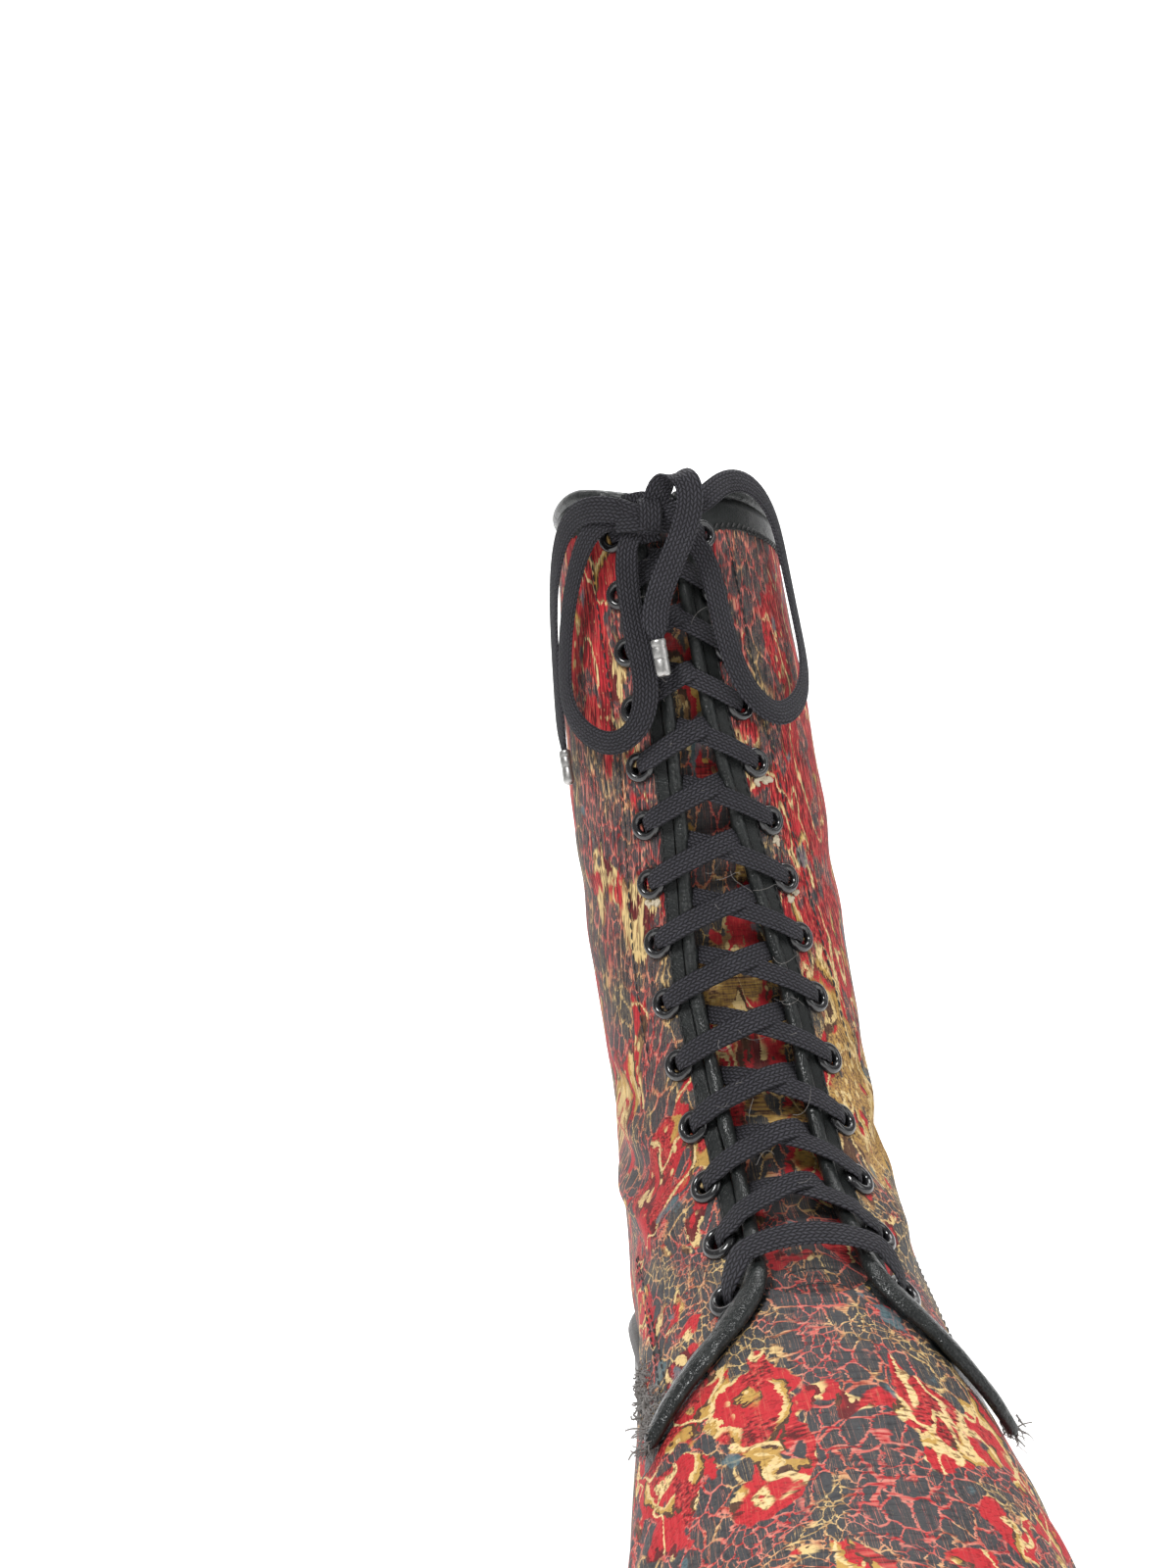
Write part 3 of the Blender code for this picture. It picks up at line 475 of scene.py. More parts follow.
def leather_bits(t, v, tone=1.0):
    """Fine black leather: colour, roughness and bump height."""
    n = t.noise(v, 0.35, 3.0)
    grain = t.voro(t.warp(v, 0.6, 0.5), 1.3, "DISTANCE_TO_EDGE")
    fine = t.noise(v, 2.4, 3.0)
    rub = t.smooth(t.noise(v, 0.16, 4.0, 0.65), 0.56, 0.74)
    dark, pale = tuple(k * tone for k in (0.008, 0.009, 0.009)), tuple(k * tone for k in (0.026, 0.030, 0.029))
    c = t.mix(n * 0.55 + rub * 0.45, dark, pale)
    h = t.smooth(grain, 0.0, 0.22) * 0.6 + fine * 0.5
    return c, n * 0.20 + rub * 0.12 + 0.26, h


def black_leather():
    t = Tree("black_leather")
    v = t.here()
    c, r, h = leather_bits(t, v)
    wrinkle = t.noise(v, 0.28, 2.0, 0.5, 0.6)
    nrm = t.bump(h, 0.09, 0.8, t.bump(wrinkle, 0.7, 0.7))
    t.put(nrm, t.bsdf.inputs["Coat Normal"])
    return t.done(c, r, nrm, Coat_Weight=0.45, Coat_Roughness=0.15, Specular_IOR_Level=0.12)


def printed():
    """Printed net over dark leather, stretched up the shaft, with leather trim along the edges."""
    t = Tree("printed_net_leather")
    p = t.attr("pc")                   # mm, drawn out up the shaft
    edge = t.attr("edge")              # mm from the throat edge, the collar and the sole
    shoe = t.attr("shoe")              # mm from the throat edge and from the collar; weight of the shaft from 0 to 1
    lean = t.attr("lean")              # leaning to red, gold, net
    more = t.attr("more")              # leaning to dark, teal, cream
    k_red, k_gold, k_net = t.sep(lean)
    k_dark, k_teal, k_cream = t.sep(more)
    e_throat, e_collar, e_shaft = t.sep(edge)
    # fine threads: lengthwise on the shaft, crosswise on the vamp
    sway = t.noise(shoe, 0.07, 1.0, colour=True)
    long_v = t.plus(t.times(shoe, (1.9, 1.9, 0.085)), t.times(sway, (3.4, 3.4, 3.4)))
    cross_v = t.plus(t.times(shoe, (1.7, 0.060, 1.7)), t.times(sway, (2.0, 2.0, 2.0)))
    down_v = t.plus(t.times(shoe, (0.040, 0.95, 0.040)), t.times(sway, (0.6, 2.6, 0.6)))
    thread_long = t.noise(long_v, 1.0, 2.0, 0.6)
    thread_cross = t.noise(cross_v, 1.0, 2.0, 0.55)
    thread_down = t.noise(down_v, 1.0, 2.0, 0.55)
    thread = thread_cross + (thread_long - thread_cross) * e_shaft
    fleck = t.noise(t.times(shoe, (2.2, 2.2, 0.40)), 1.0, 2.0, 0.6)
    # edges of the print are drawn out along the threads
    w = t.warp(t.warp(p, 0.035, 14.0), 0.13, 4.0)
    w = t.plus(w, t.vec(0.0, (thread_cross - 0.5) * (1.0 - e_shaft) * 2.2, (thread_long - 0.5) * e_shaft * 4.2))

    # motifs: nested bands about scattered seeds, a plain old textile idea
    m = t.times(w, (0.040, 0.040, 0.046))
    seed = t.voro(m, 1.0, "SMOOTH_F1")
    tone = t.sep(t.voro(m, 1.0, "F1", out="Color"))
    band = seed + t.noise(w, 0.20, 2.0) * 0.24
    bands = t.ramp(band, ((0.0, GOLD), (0.19, BROWN), (0.215, RED), (0.37, CREAM), (0.40, GOLD), (0.43, BROWN),
                          (0.455, RED), (0.59, MAROON), (0.63, CREAM), (0.665, TAN), (0.69, BROWN), (0.715, RED),
                          (0.84, MAROON)), "CONSTANT")
    warm = t.ramp(band, ((0.0, RED), (0.17, MAROON), (0.20, GOLD), (0.29, CREAM), (0.32, TAN), (0.37, BROWN),
                         (0.40, RED), (0.47, GOLD), (0.53, CREAM), (0.56, BROWN), (0.60, RED), (0.69, TAN),
                         (0.76, BROWN)), "CONSTANT")
    n_family = t.noise(w, 0.060, 2.0, 0.5)
    gold_way = t.smooth(n_family + k_gold * 0.42 - k_red * 0.34, 0.565, 0.60)
    solid = t.mix(gold_way, bands, warm)
    red_way = t.smooth(t.noise(w, 0.080, 2.0) + k_red * 0.34 - k_gold * 0.18 + e_shaft * 0.045, 0.575, 0.60)
    reds = t.ramp(thread, ((0.36, MAROON), (0.46, (0.30, 0.018, 0.022)), (0.56, RED), (0.70, CORAL)))
    solid = t.mix(red_way, solid, reds)
    golds = t.ramp(thread, ((0.36, BROWN), (0.46, TAN), (0.58, GOLD), (0.72, CREAM)))
    solid = t.mix(t.smooth(t.noise(w, 0.09, 2.0) + k_gold * 0.34 - k_red * 0.2, 0.66, 0.70), solid, golds)
    cream_way = t.smooth(t.math("ABSOLUTE", t.noise(w, 0.055, 2.0) - 0.5) - k_cream * 0.012, 0.013, 0.007)
    solid = t.mix(cream_way, solid, t.ramp(thread, ((0.34, TAN), (0.48, CREAM), (0.66, (0.74, 0.58, 0.31)), (0.74, PINK))))
    dots = t.voro(t.warp(p, 0.2, 2.0), 0.30, "F1", 0.6)
    solid = t.mix(t.smooth(dots, 0.26, 0.20) * t.smooth(t.noise(p, 0.06, 1.0) + k_cream * 0.2 + k_gold * 0.15, 0.58, 0.63),
                  solid, CREAM)

    # the net: dark leather in rounded cells between thin threads
    cell = t.voro(t.warp(w, 0.3, 1.5), 0.205, "DISTANCE_TO_EDGE", 0.75)
    small = t.voro(t.warp(w, 0.5, 1.0), 0.37, "DISTANCE_TO_EDGE", 0.9)
    rough_edge = (t.noise(w, 0.7, 3.0) - 0.5) * 0.06
    holes = t.smooth(cell + rough_edge, 0.030, 0.060)
    holes_small = t.smooth(small + rough_edge, 0.035, 0.07)
    fine_net = t.smooth(t.noise(w, 0.05, 1.0) + e_shaft * 0.06, 0.54, 0.58)
    hole = holes + (holes_small - holes) * fine_net
    coal = t.mix(t.noise(shoe, 0.9, 4.0, 0.7), (0.030, 0.030, 0.032), (0.078, 0.078, 0.082))
    tie = t.mix(t.smooth(t.noise(w, 0.07, 2.0) + k_gold * 0.25 - k_red * 0.2 - e_shaft * 0.05, 0.44, 0.60),
                t.ramp(thread, ((0.38, RED), (0.66, PINK))), t.ramp(thread, ((0.38, TAN), (0.64, CREAM))))
    hair_long = t.smooth(t.math("ABSOLUTE", thread_long - 0.5), 0.016, 0.004) * e_shaft
    hair_down = t.smooth(t.math("ABSOLUTE", thread_down - 0.5), 0.010, 0.003) * (1.0 - e_shaft)
    hair = t.math("MAXIMUM", hair_long, hair_down)
    net = t.mix(hole, tie, t.mix(hair * 0.65, coal, tie))
    open_way = t.smooth(t.noise(w, 0.072, 2.0, 0.55) + 0.015 + k_net * 0.32 - k_red * 0.13 - k_gold * 0.15
                        + t.smooth(band, 0.45, 0.80) * 0.10 - k_cream * 0.10, 0.515, 0.535)
    c = t.mix(open_way, solid, net)

    # teal touches, darker copies of the colour in the gaps between raised threads (the print's dark thread lines and
    # painted shade in the grooves), pale threads, bright flecks
    c = t.mix(t.smooth(t.noise(w, 0.085, 2.0) + k_teal * 0.40, 0.67, 0.70) * 0.80, c,
              t.mix(thread, TEAL, (0.13, 0.19, 0.20)))
    # the gaps sit on the low places of the thread bump: dark thread lines of the print together with painted groove
    # shade
    thread_lines_and_groove_shade = t.smooth(thread_long, 0.52, 0.43) * e_shaft * 0.80 + t.smooth(thread_cross, 0.46, 0.38) * (1.0 - e_shaft) * 0.42
    thread_lines_and_groove_shade = thread_lines_and_groove_shade + t.smooth(thread_down, 0.42, 0.36) * (1.0 - e_shaft) * 0.22
    c = t.mix(t.math("MINIMUM", thread_lines_and_groove_shade, 0.95), c, t.times(c, (0.27, 0.25, 0.26)))
    c = t.mix(k_dark * 0.34, c, t.mix(tone[0], (0.034, 0.026, 0.026), (0.062, 0.030, 0.026)))
    pale = t.smooth(thread_long, 0.61, 0.66) * e_shaft * 0.24 * (1.0 - k_red * 0.65)
    c = t.mix(pale, c, t.mix(tone[1], TAN, CREAM))
    c = t.mix(t.smooth(fleck, 0.66, 0.70) * (e_shaft * 0.40 + 0.12), c, (0.62, 0.45, 0.20))
    c = t.mix(hair_down * 0.16, c, t.mix(tone[2], PINK, CREAM))

    # trim along the throat, collar binding
    lc, lr, lh = leather_bits(t, t.times(shoe, (1.0, 1.0, 1.0)))
    strip = t.smooth(e_throat + (t.noise(shoe, 0.5, 2.0) - 0.5) * 0.5, 4.1, 3.8)
    bind = t.smooth(e_collar + (t.noise(shoe, 0.4, 1.0) - 0.5) * 0.4, 9.6, 9.3)
    trim = t.math("MAXIMUM", strip, bind)
    dirt = t.smooth(t.noise(shoe, 0.11, 4.0, 0.62), 0.52, 0.80)
    c = t.mix(dirt * 0.22, c, (0.10, 0.085, 0.075))
    c = t.mix(trim, c, lc)

    raised = thread * 0.95 + t.noise(shoe, 0.9, 3.0, 0.65) * 0.30
    h = raised * (1.0 - trim) + (lh * 0.35 + 1.3) * trim
    rough = t.mix(trim, t.vec(1, 1, 1), t.vec(0, 0, 0))
    r = t.sep(rough)[0] * (0.60 + 0.16 * t.noise(shoe, 0.6, 2.0)) + trim * lr
    nrm = t.bump(h, 0.30, 0.85, t.bump(t.noise(shoe, 0.10, 2.0, 0.5), 1.3, 0.6))
    return t.done(c, r, nrm, Specular_IOR_Level=0.26)


def lining():
    t = Tree("lining")
    v = t.here()
    weave = t.noise(t.times(v, (2.2, 2.2, 0.7)), 1.0, 3.0)
    c = t.mix(weave, (0.018, 0.017, 0.017), (0.055, 0.050, 0.047))
    return t.done(c, t.noise(v, 0.3, 2.0) * 0.2 + 0.7, t.bump(weave, 0.2, 0.7))


def braid(name, tone=1.0):
    """Flat braided lace: rows of slanting picks in lengthwise ribs."""
    t = Tree(name)
    v = t.attr("tape")
    a, l, wide = t.sep(v)
    pitch = 1.02
    x = a / pitch + 20.0
    cf, ci = t.math("FRACT", x), t.math("FLOOR", x)
    odd = t.math("FLOORED_MODULO", ci, 2.0)
    way = odd * 2.0 - 1.0
    y = l / 1.55 + way * (cf - 0.5) * 0.66 + odd * 0.5
    yf = t.math("FRACT", y)
    hx = 1.0 - t.math("POWER", t.math("ABSOLUTE", cf * 2.0 - 1.0), 2.2)
    hy = 1.0 - t.math("POWER", t.math("ABSOLUTE", yf * 2.0 - 1.0), 2.4)
    pick = t.math("POWER", t.math("MAXIMUM", hx * hy, 0.0001), 0.6)
    fuzz = t.noise(t.here(), 3.2, 3.0, 0.7)
    worn = t.noise(t.here(), 0.14, 3.0)
    # colour follows the pick height: painted shade in the grooves between picks and painted highlight on the pick
    # crowns, mixed with fibre fuzz and real wear
    pick_shade_and_wear = pick * (fuzz * 0.7 + 0.45) * (worn * 0.5 + 0.75)
    lo, hi = tuple(k * tone for k in (0.0012, 0.0012, 0.0016)), tuple(k * tone for k in (0.060, 0.058, 0.070))
    c = t.mix(pick_shade_and_wear, lo, hi)
    c = t.mix(t.smooth(t.noise(t.here(), 1.7, 2.0, 0.7), 0.71, 0.76) * 0.30, c, (0.11, 0.105, 0.11))
    nrm = t.bump(pick + fuzz * 0.22, 0.70, 1.0)
    return t.done(c, t.noise(t.here(), 0.9, 2.0) * 0.15 + 0.62, nrm, Specular_IOR_Level=0.25)


def enamel():
    t = Tree("black_enamel")
    v = t.here()
    worn = t.smooth(t.noise(v, 0.55, 4.0, 0.7), 0.60, 0.74)
    c = t.mix(worn, (0.010, 0.010, 0.011), (0.085, 0.085, 0.088))
    r = t.noise(v, 0.8, 3.0) * 0.16 + worn * 0.18 + 0.10
    return t.done(c, r, t.bump(t.noise(v, 1.1, 2.0), 0.10, 0.5), Coat_Weight=0.5, Coat_Roughness=0.14,
                  Specular_IOR_Level=0.5)


def metal_tip():
    t = Tree("aglet_metal")
    v = t.here()
    n = t.noise(v, 1.4, 4.0, 0.65)
    c = t.mix(n, (0.24, 0.235, 0.23), (0.60, 0.59, 0.57))
    return t.done(c, n * 0.3 + 0.24, t.bump(n, 0.10, 0.6), Metallic=1.0)


def rubber():
    t = Tree("sole_rubber")
    v = t.here()
    n = t.noise(v, 0.12, 4.0, 0.6)
    scuff = t.smooth(t.noise(t.times(v, (0.6, 0.25, 1.6)), 0.5, 4.0, 0.65), 0.57, 0.70)
    dust = t.smooth(t.noise(v, 0.32, 5.0, 0.7), 0.54, 0.74)
    c = t.mix(n, (0.011, 0.008, 0.007), (0.032, 0.023, 0.019))
    c = t.mix(scuff * 0.4, c, (0.055, 0.046, 0.040))
    c = t.mix(dust * 0.22, c, (0.085, 0.074, 0.064))
    h = t.noise(v, 1.1, 4.0, 0.6) + scuff * 0.4
    return t.done(c, n * 0.2 + dust * 0.22 + 0.30, t.bump(h, 0.16, 0.7), Specular_IOR_Level=0.4)


def footbed():
    t = Tree("footbed_cloth")
    v = t.here()
    a = t.noise(t.times(v, (2.6, 0.9, 1.0)), 1.0, 3.0)
    b = t.noise(t.times(v, (0.9, 2.6, 1.0)), 1.0, 3.0)
    wear = t.smooth(t.noise(v, 0.03, 3.0), 0.48, 0.66)
    c = t.mix(a * 0.5 + b * 0.5, (0.022, 0.020, 0.018), (0.080, 0.072, 0.064))
    c = t.mix(wear * 0.5, c, (0.090, 0.078, 0.066))
    return t.done(c, a * 0.1 + 0.78, t.bump(a + b, 0.25, 0.7), Sheen_Weight=0.15)


def thread_mat(name, lo, hi):
    t = Tree(name)
    v = t.here()
    n = t.noise(v, 2.6, 3.0, 0.6)
    return t.done(t.mix(n, lo, hi), n * 0.2 + 0.5, t.bump(n, 0.12, 0.7))


def frayed(name, lo, hi):
    t = Tree(name)
    v = t.here()
    n = t.noise(v, 1.3, 4.0, 0.7)
    return t.done(t.mix(n, lo, hi), n * 0.1 + 0.78, t.bump(n, 0.3, 0.8), Sheen_Weight=0.2)


LEATHER, PRINT, LINING = black_leather(), printed(), lining()
# the second lace material is the same braid darkened to 0.82: painted shade for the medial loop, the medial end and
# the knot
BRAID, BRAID_SHADED = braid("lace_braid", 1.0), braid("lace_braid_ends", 0.82)
ENAMEL, TIP, RUBBER, FOOTBED = enamel(), metal_tip(), rubber(), footbed()
THREAD = thread_mat("black_thread", (0.006, 0.006, 0.006), (0.040, 0.038, 0.038))
FUZZ = frayed("grey_fray", (0.060, 0.055, 0.052), (0.27, 0.25, 0.235))
GLUE = frayed("worn_spot", (0.22, 0.17, 0.10), (0.70, 0.62, 0.47))


# ---------------------------------------------------------------- mesh makers
def make(name, points, faces, mats, attrs=None, nodes=()):
    """One riding piece from shoe points in mm."""
    me = bpy.data.meshes.new(name)
    me.from_pydata([tuple(q) for q in world(points)], [], [tuple(int(k) for k in f) for f in faces])
    me.update()
    for key, value in (attrs or {}).items():
        a = me.attributes.new(key, "FLOAT_VECTOR", "POINT")
        a.data.foreach_set("vector", np.asarray(value, np.float32).ravel())
    for m in mats if isinstance(mats, (list, tuple)) else [mats]:
        me.materials.append(m)
    me.shade_smooth()
    o = bpy.data.objects.new(name, me)
    bpy.context.scene.collection.objects.link(o)
    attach(o, "root")
    if nodes:
        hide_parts(*nodes)
    return o


def outward(points, faces):
    """Faces turned so that a closed mesh has its normals out."""
    w = world(points)
    total = 0.0
    for f in faces:
        for k in range(1, len(f) - 1):
            total += np.dot(w[f[0]], np.cross(w[f[k]], w[f[k + 1]]))
    return faces if total > 0 else [f[::-1] for f in faces]


class Heap:
    """Many small closed pieces gathered into one mesh."""

    def __init__(self):
        self.p, self.f, self.a = [], [], []
        self.n = 0

    def put(self, points, faces, tape=None):
        faces = outward(points, faces)
        self.p.append(np.asarray(points, float))
        self.a.append(np.zeros((len(points), 3)) if tape is None else tape)
        self.f += [tuple(k + self.n for k in f) for f in faces]
        self.n += len(points)

    def make(self, name, mat, slot, nodes=()):
        return make(name, np.concatenate(self.p), self.f, mat, {"tape": np.concatenate(self.a)}, nodes)


def rings(sections):
    """Faces through rings of points, closed at both ends."""
    k, n = sections.shape[:2]
    faces = []
    for a in range(k - 1):
        for b in range(n):
            c = (b + 1) % n
            faces.append((a * n + b, a * n + c, (a + 1) * n + c, (a + 1) * n + b))
    faces.append(tuple(range(n - 1, -1, -1)))
    faces.append(tuple((k - 1) * n + b for b in range(n)))
    return sections.reshape(-1, 3), faces


def transport(path, first=None):
    run = np.gradient(path, axis=0)
    run /= np.linalg.norm(run, axis=1)[:, None]
    n = np.array([0.3, 0.5, 0.8]) if first is None else np.asarray(first, float)
    side = []
    for t in run:
        n = n - t * (n @ t)
        n /= np.linalg.norm(n)
        side.append(n)
    side = np.array(side)
    return run, side, np.cross(run, side)


def hose(path, radius, sides=12):
    path = np.asarray(path, float)
    _, a, b = transport(path)
    radius = np.broadcast_to(np.asarray(radius, float), (len(path),))
    th = np.linspace(0, 2 * np.pi, sides, endpoint=False)
    sec = path[:, None] + radius[:, None, None] * (
        np.cos(th)[None, :, None] * a[:, None] + np.sin(th)[None, :, None] * b[:, None])
    return rings(sec)


TAPE_TH = np.linspace(0, 2 * np.pi, 16, endpoint=False)


def tape(path, normal, wide, thick=LACE_T, start=0.0, cup=0.0):
    """Flat lace along a path, broad side to the normal; with across, along and width in mm."""
    path, normal = np.asarray(path, float), np.asarray(normal, float)
    run = np.gradient(path, axis=0)
    run /= np.linalg.norm(run, axis=1)[:, None]
    across = np.cross(run, normal)
    across /= np.linalg.norm(across, axis=1)[:, None]
    up = np.cross(across, run)
    wide = np.broadcast_to(np.asarray(wide, float), (len(path),))
    c, s = np.cos(TAPE_TH), np.sin(TAPE_TH)
    ea = np.sign(c) * np.abs(c) ** 0.55
    eb = np.sign(s) * np.abs(s) ** 0.75
    half = wide[:, None] / 2 * ea[None]
    height = thick / 2 * eb[None] * (0.72 + 0.28 * (1 - ea[None] ** 2)) + np.asarray(cup) * (half**2) / 10.0
    sec = path[:, None] + half[..., None] * across[:, None] + height[..., None] * up[:, None]
    along = start + np.r_[0, np.cumsum(np.linalg.norm(np.diff(path, axis=0), axis=1))]
    att = np.zeros((len(path), len(TAPE_TH), 3))
    att[..., 0], att[..., 1], att[..., 2] = half, along[:, None], wide[:, None]
    pts, faces = rings(sec)
    return pts, faces, att.reshape(-1, 3)


def through(stops, count, values=3):
    """Smooth run through stops (s, h, lift, ...) in the front chart."""
    stops = np.array(stops, float)
    t = np.r_[0, np.cumsum(np.linalg.norm(np.diff(stops[:, :3], axis=0), axis=1))]
    at = np.linspace(0, t[-1], count)
    return [smooth(t, stops[:, k], at) for k in range(stops.shape[1])]


# ------------------------------------------------------------------ free lace
ROUTES = {
    "lace_loop_lateral": ((-3, 1.0, 10.6), (-5.5, 8.0, 12.0), (-12, 15, 10.5), (-14, 22, 9.0), (-8, 29, 7.0), (6, 33, 5.0),
                          (24, 35, 4.2), (40, 34.5, 4.2), (51, 29, 4.5), (54, 22, 5.0), (48, 15.5, 6.0),
                          (36, 12, 7.0), (20, 10.5, 8.0), (8, 8.5, 8.8), (1.0, 4.0, 9.4), (-1.5, 0.5, 9.6)),
    "lace_loop_medial": ((-2.5, -4.5, 9.8), (-3, -12.0, 9.4), (4, -19, 7.5), (18, -25.5, 6.5), (34, -30, 6.0), (48, -31, 5.6),
                         (58, -26, 5.8), (61, -19, 6.4), (56, -12.5, 7.6), (44, -9.5, 8.2), (28, -9.5, 8.6),
                         (13, -8.8, 9.2), (4.0, -7.0, 9.6), (-1.0, -4.0, 9.8)),
    "lace_end_centre": ((-3.5, -1.0, 9.6), (-8.5, 0.5, 10.8), (-12.5, 2.8, 13.0), (-12.0, 5.2, 16.0),
                        (-5.5, 5.6, 17.0), (5, 3.2, 15.4), (16, -1.0, 12.8), (26, -4.2, 11.4), (34, -4.8, 11.0)),
    "lace_end_medial": ((-3.5, -4.5, 11.0), (-6.5, -11.5, 11.0), (-6, -19, 8.5), (2, -27, 6.0), (16, -33, 4.2), (32, -35.5, 3.8),
                        (48, -36.5, 3.8), (60, -36.5, 3.8)),
}
FREE_W = 7.6
KNOT_AT = on_front(ROW_S[0] - 3.0, -2.5, 9.6)


def aglet(name, at, way, flat):
    """Crimped metal tip on the end of a lace."""
    way = way / np.linalg.norm(way)
    side = np.cross(way, flat)
    side /= np.linalg.norm(side)
    up = np.cross(side, way)
    th = np.linspace(0, 2 * np.pi, 24, endpoint=False)
    sec = []
    for d, r in ((-0.6, 1.5), (-0.5, 2.05), (0.1, 2.15), (1.2, 2.1), (1.6, 1.9), (2.0, 2.1), (4.5, 2.08), (5.0, 1.9),
                 (5.4, 2.08), (8.6, 2.02), (9.4, 1.95), (9.9, 1.7), (10.2, 1.2)):
        squash = 0.82 + 0.06 * math.sin(d)
        sec.append(at + way * d + r * (np.cos(th)[:, None] * side * 1.05 + np.sin(th)[:, None] * up * squash))
    pts, faces = rings(np.array(sec))
    return make(name + "_tip", pts, outward(pts, faces), TIP, None, [name])


for name, route in ROUTES.items():
    raw = np.array([on_front(ROW_S[0] + a, b, c)[0] for a, b, c in route])
    nrm = np.array([on_front(ROW_S[0] + a, b, c)[1] for a, b, c in route])
    run = resampled(np.c_[raw, nrm], 90)
    path, n = run[:, :3], run[:, 3:]
    n /= np.linalg.norm(n, axis=1)[:, None]
    along = np.linspace(0, 1, len(path))
    if name == "lace_end_centre":           # the fold over the knot turns the tape over with its path
        t = np.gradient(path, axis=0)
        t /= np.linalg.norm(t, axis=1)[:, None]
        sideways = np.array([0.0, 1.0, 0.0]) + 0.25 * np.array([0.0, 0.0, 1.0])
        n = np.cross(sideways, t)
        n /= np.linalg.norm(n, axis=1)[:, None]
    wide = FREE_W * (1 - 0.30 * np.exp(-(along / 0.05) ** 2))
    if "loop" in name:
        wide = wide * (1 - 0.30 * np.exp(-((1 - along) / 0.05) ** 2))
        wide = wide * (1 - 0.10 * np.sin(along * 9.0) ** 2)
    else:
        wide = wide * (1 - 0.52 * np.exp(-((1 - along) / 0.05) ** 2))
    pts, faces, att = tape(path, n, wide, 1.5, 0.0, 0.10 * np.sin(along * 14.0)[:, None])
    # the medial pieces take the darkened lace copy: painted shade
    piece = make(name + "_tape", pts, outward(pts, faces), BRAID_SHADED if "medial" in name else BRAID, {"tape": att}, [name])
    tips = []
    if "end" in name:
        tips = [aglet(name.replace("lace_end", "aglet"), path[-1] + (path[-1] - path[-2]) * 0.1, path[-1] - path[-3], n[-1])]
    w_path = world(path)

# knot: a wrap round the middle, and the two turns that come out of it
knot = Heap()
kp, kn = KNOT_AT
kx = np.array([0.0, 1.0, 0.0])
ku = np.cross(kx, kn)
ku /= np.linalg.norm(ku)


def at_knot(a, b, c):
    return kp + a * kx + b * ku + c * kn


th = np.linspace(0, 2 * np.pi, 49)
wrap = np.array([at_knot(0.8 * math.sin(k) + 0.6, 4.6 * math.cos(k), 3.6 * math.sin(k)) for k in th])
wrap_n = np.array([ku * math.cos(k) * 0.8 + kn * math.sin(k) for k in th])
knot.put(*tape(wrap, wrap_n, 6.6, 1.5))
for tilt, far in ((0.55, 8.2), (-0.45, 8.6)):
    arc = np.linspace(-1, 1, 33)
    pth = np.array([at_knot(far * k, 4.4 * tilt * k + 1.2 * math.cos(k * 2), 2.6 * math.cos(k * 1.5) - 0.6) for k in arc])
    nn = np.array([kn * math.cos(k * 0.8) + kx * math.sin(k * 0.9) for k in arc])
    knot.put(*tape(pth, nn, 5.6 + 1.2 * np.cos(arc * 1.4), 1.7))
pth = np.array([at_knot(-1.0 + 2.2 * math.sin(k * 1.2), -7.0 + 14 * (k + 1) / 2, -1.8 + 1.4 * math.cos(k * 1.6)) for k in np.linspace(-1, 1, 25)])
knot.put(*tape(pth, np.tile(kn, (25, 1)), 6.4, 2.2))
# the knot takes the darkened lace copy: painted shade
knot.make("lace_knot_turns", BRAID_SHADED, "lace", ["lace_knot"])

# ------------------------------------------------------------- lace in the rows
rows = Heap()
for row in range(1, ROWS):
    s0, e0, g0 = ROW_S[row - 1], spread(row), float(half_gap(ROW_S[row - 1]))
    rise = (ROW_S[row - 1] - ROW_S[row - 2]) if row > 1 else 9.0
    e1 = spread(row - 1)
    for side, mid, wide in ((-1, 4.5, 6.4), (1, 3.2, 5.9)):
        def stop(h, lift, w):
            k = (e0 - h) / (e0 + e1)
            return (s0 - rise * k, side * h, lift, w)
        far = g0 + PIPE_R
        top = float(over_pipe(s0))
        wob = rng.normal(0, 0.25)
        stops = (
            (s0 + 0.3, side * (e0 + 0.6), -4.6, 3.2), (s0 + 0.2, side * (e0 + 0.5), -1.6, 3.4),
            (s0, side * (e0 - 0.1), 0.9, 3.9), stop(e0 - 1.9, 2.35, 4.9), stop(e0 - 4.2, 2.75, wide),
            stop(g0 + PIPE_R + 0.4, top, wide), stop(max(g0 * 0.55, 1.2), top + 0.1, wide),
            stop(0.0, mid + float(pipe_lift(s0)) - 0.5 + wob * 0.4, wide),
            stop(-max(g0 * 0.6, 1.0), (mid - 1.6 if g0 > 5 else mid - 1.4), wide - 0.4),
            stop(-far + 0.6, -2.35, wide - 0.9), stop(-(far + 3.0), -3.6, wide - 1.2))
        s, h, lift, w = through(stops, 64)
        p, n = on_front(s, h, lift)
        lean = 0.16 * side * np.sin(np.linspace(0, np.pi, 64)) + rng.normal(0, 0.03)
        t = np.gradient(p, axis=0)
        t /= np.linalg.norm(t, axis=1)[:, None]
        n = n * np.cos(lean)[:, None] + np.cross(t, n) * np.sin(lean)[:, None]
        rows.put(*tape(p, n, w, LACE_T, rng.uniform(0, 20), 0.05))
s0, e0, g0 = ROW_S[-1], spread(ROWS), float(half_gap(ROW_S[-1]))
top = float(over_pipe(s0 - 3.0)) + 0.5
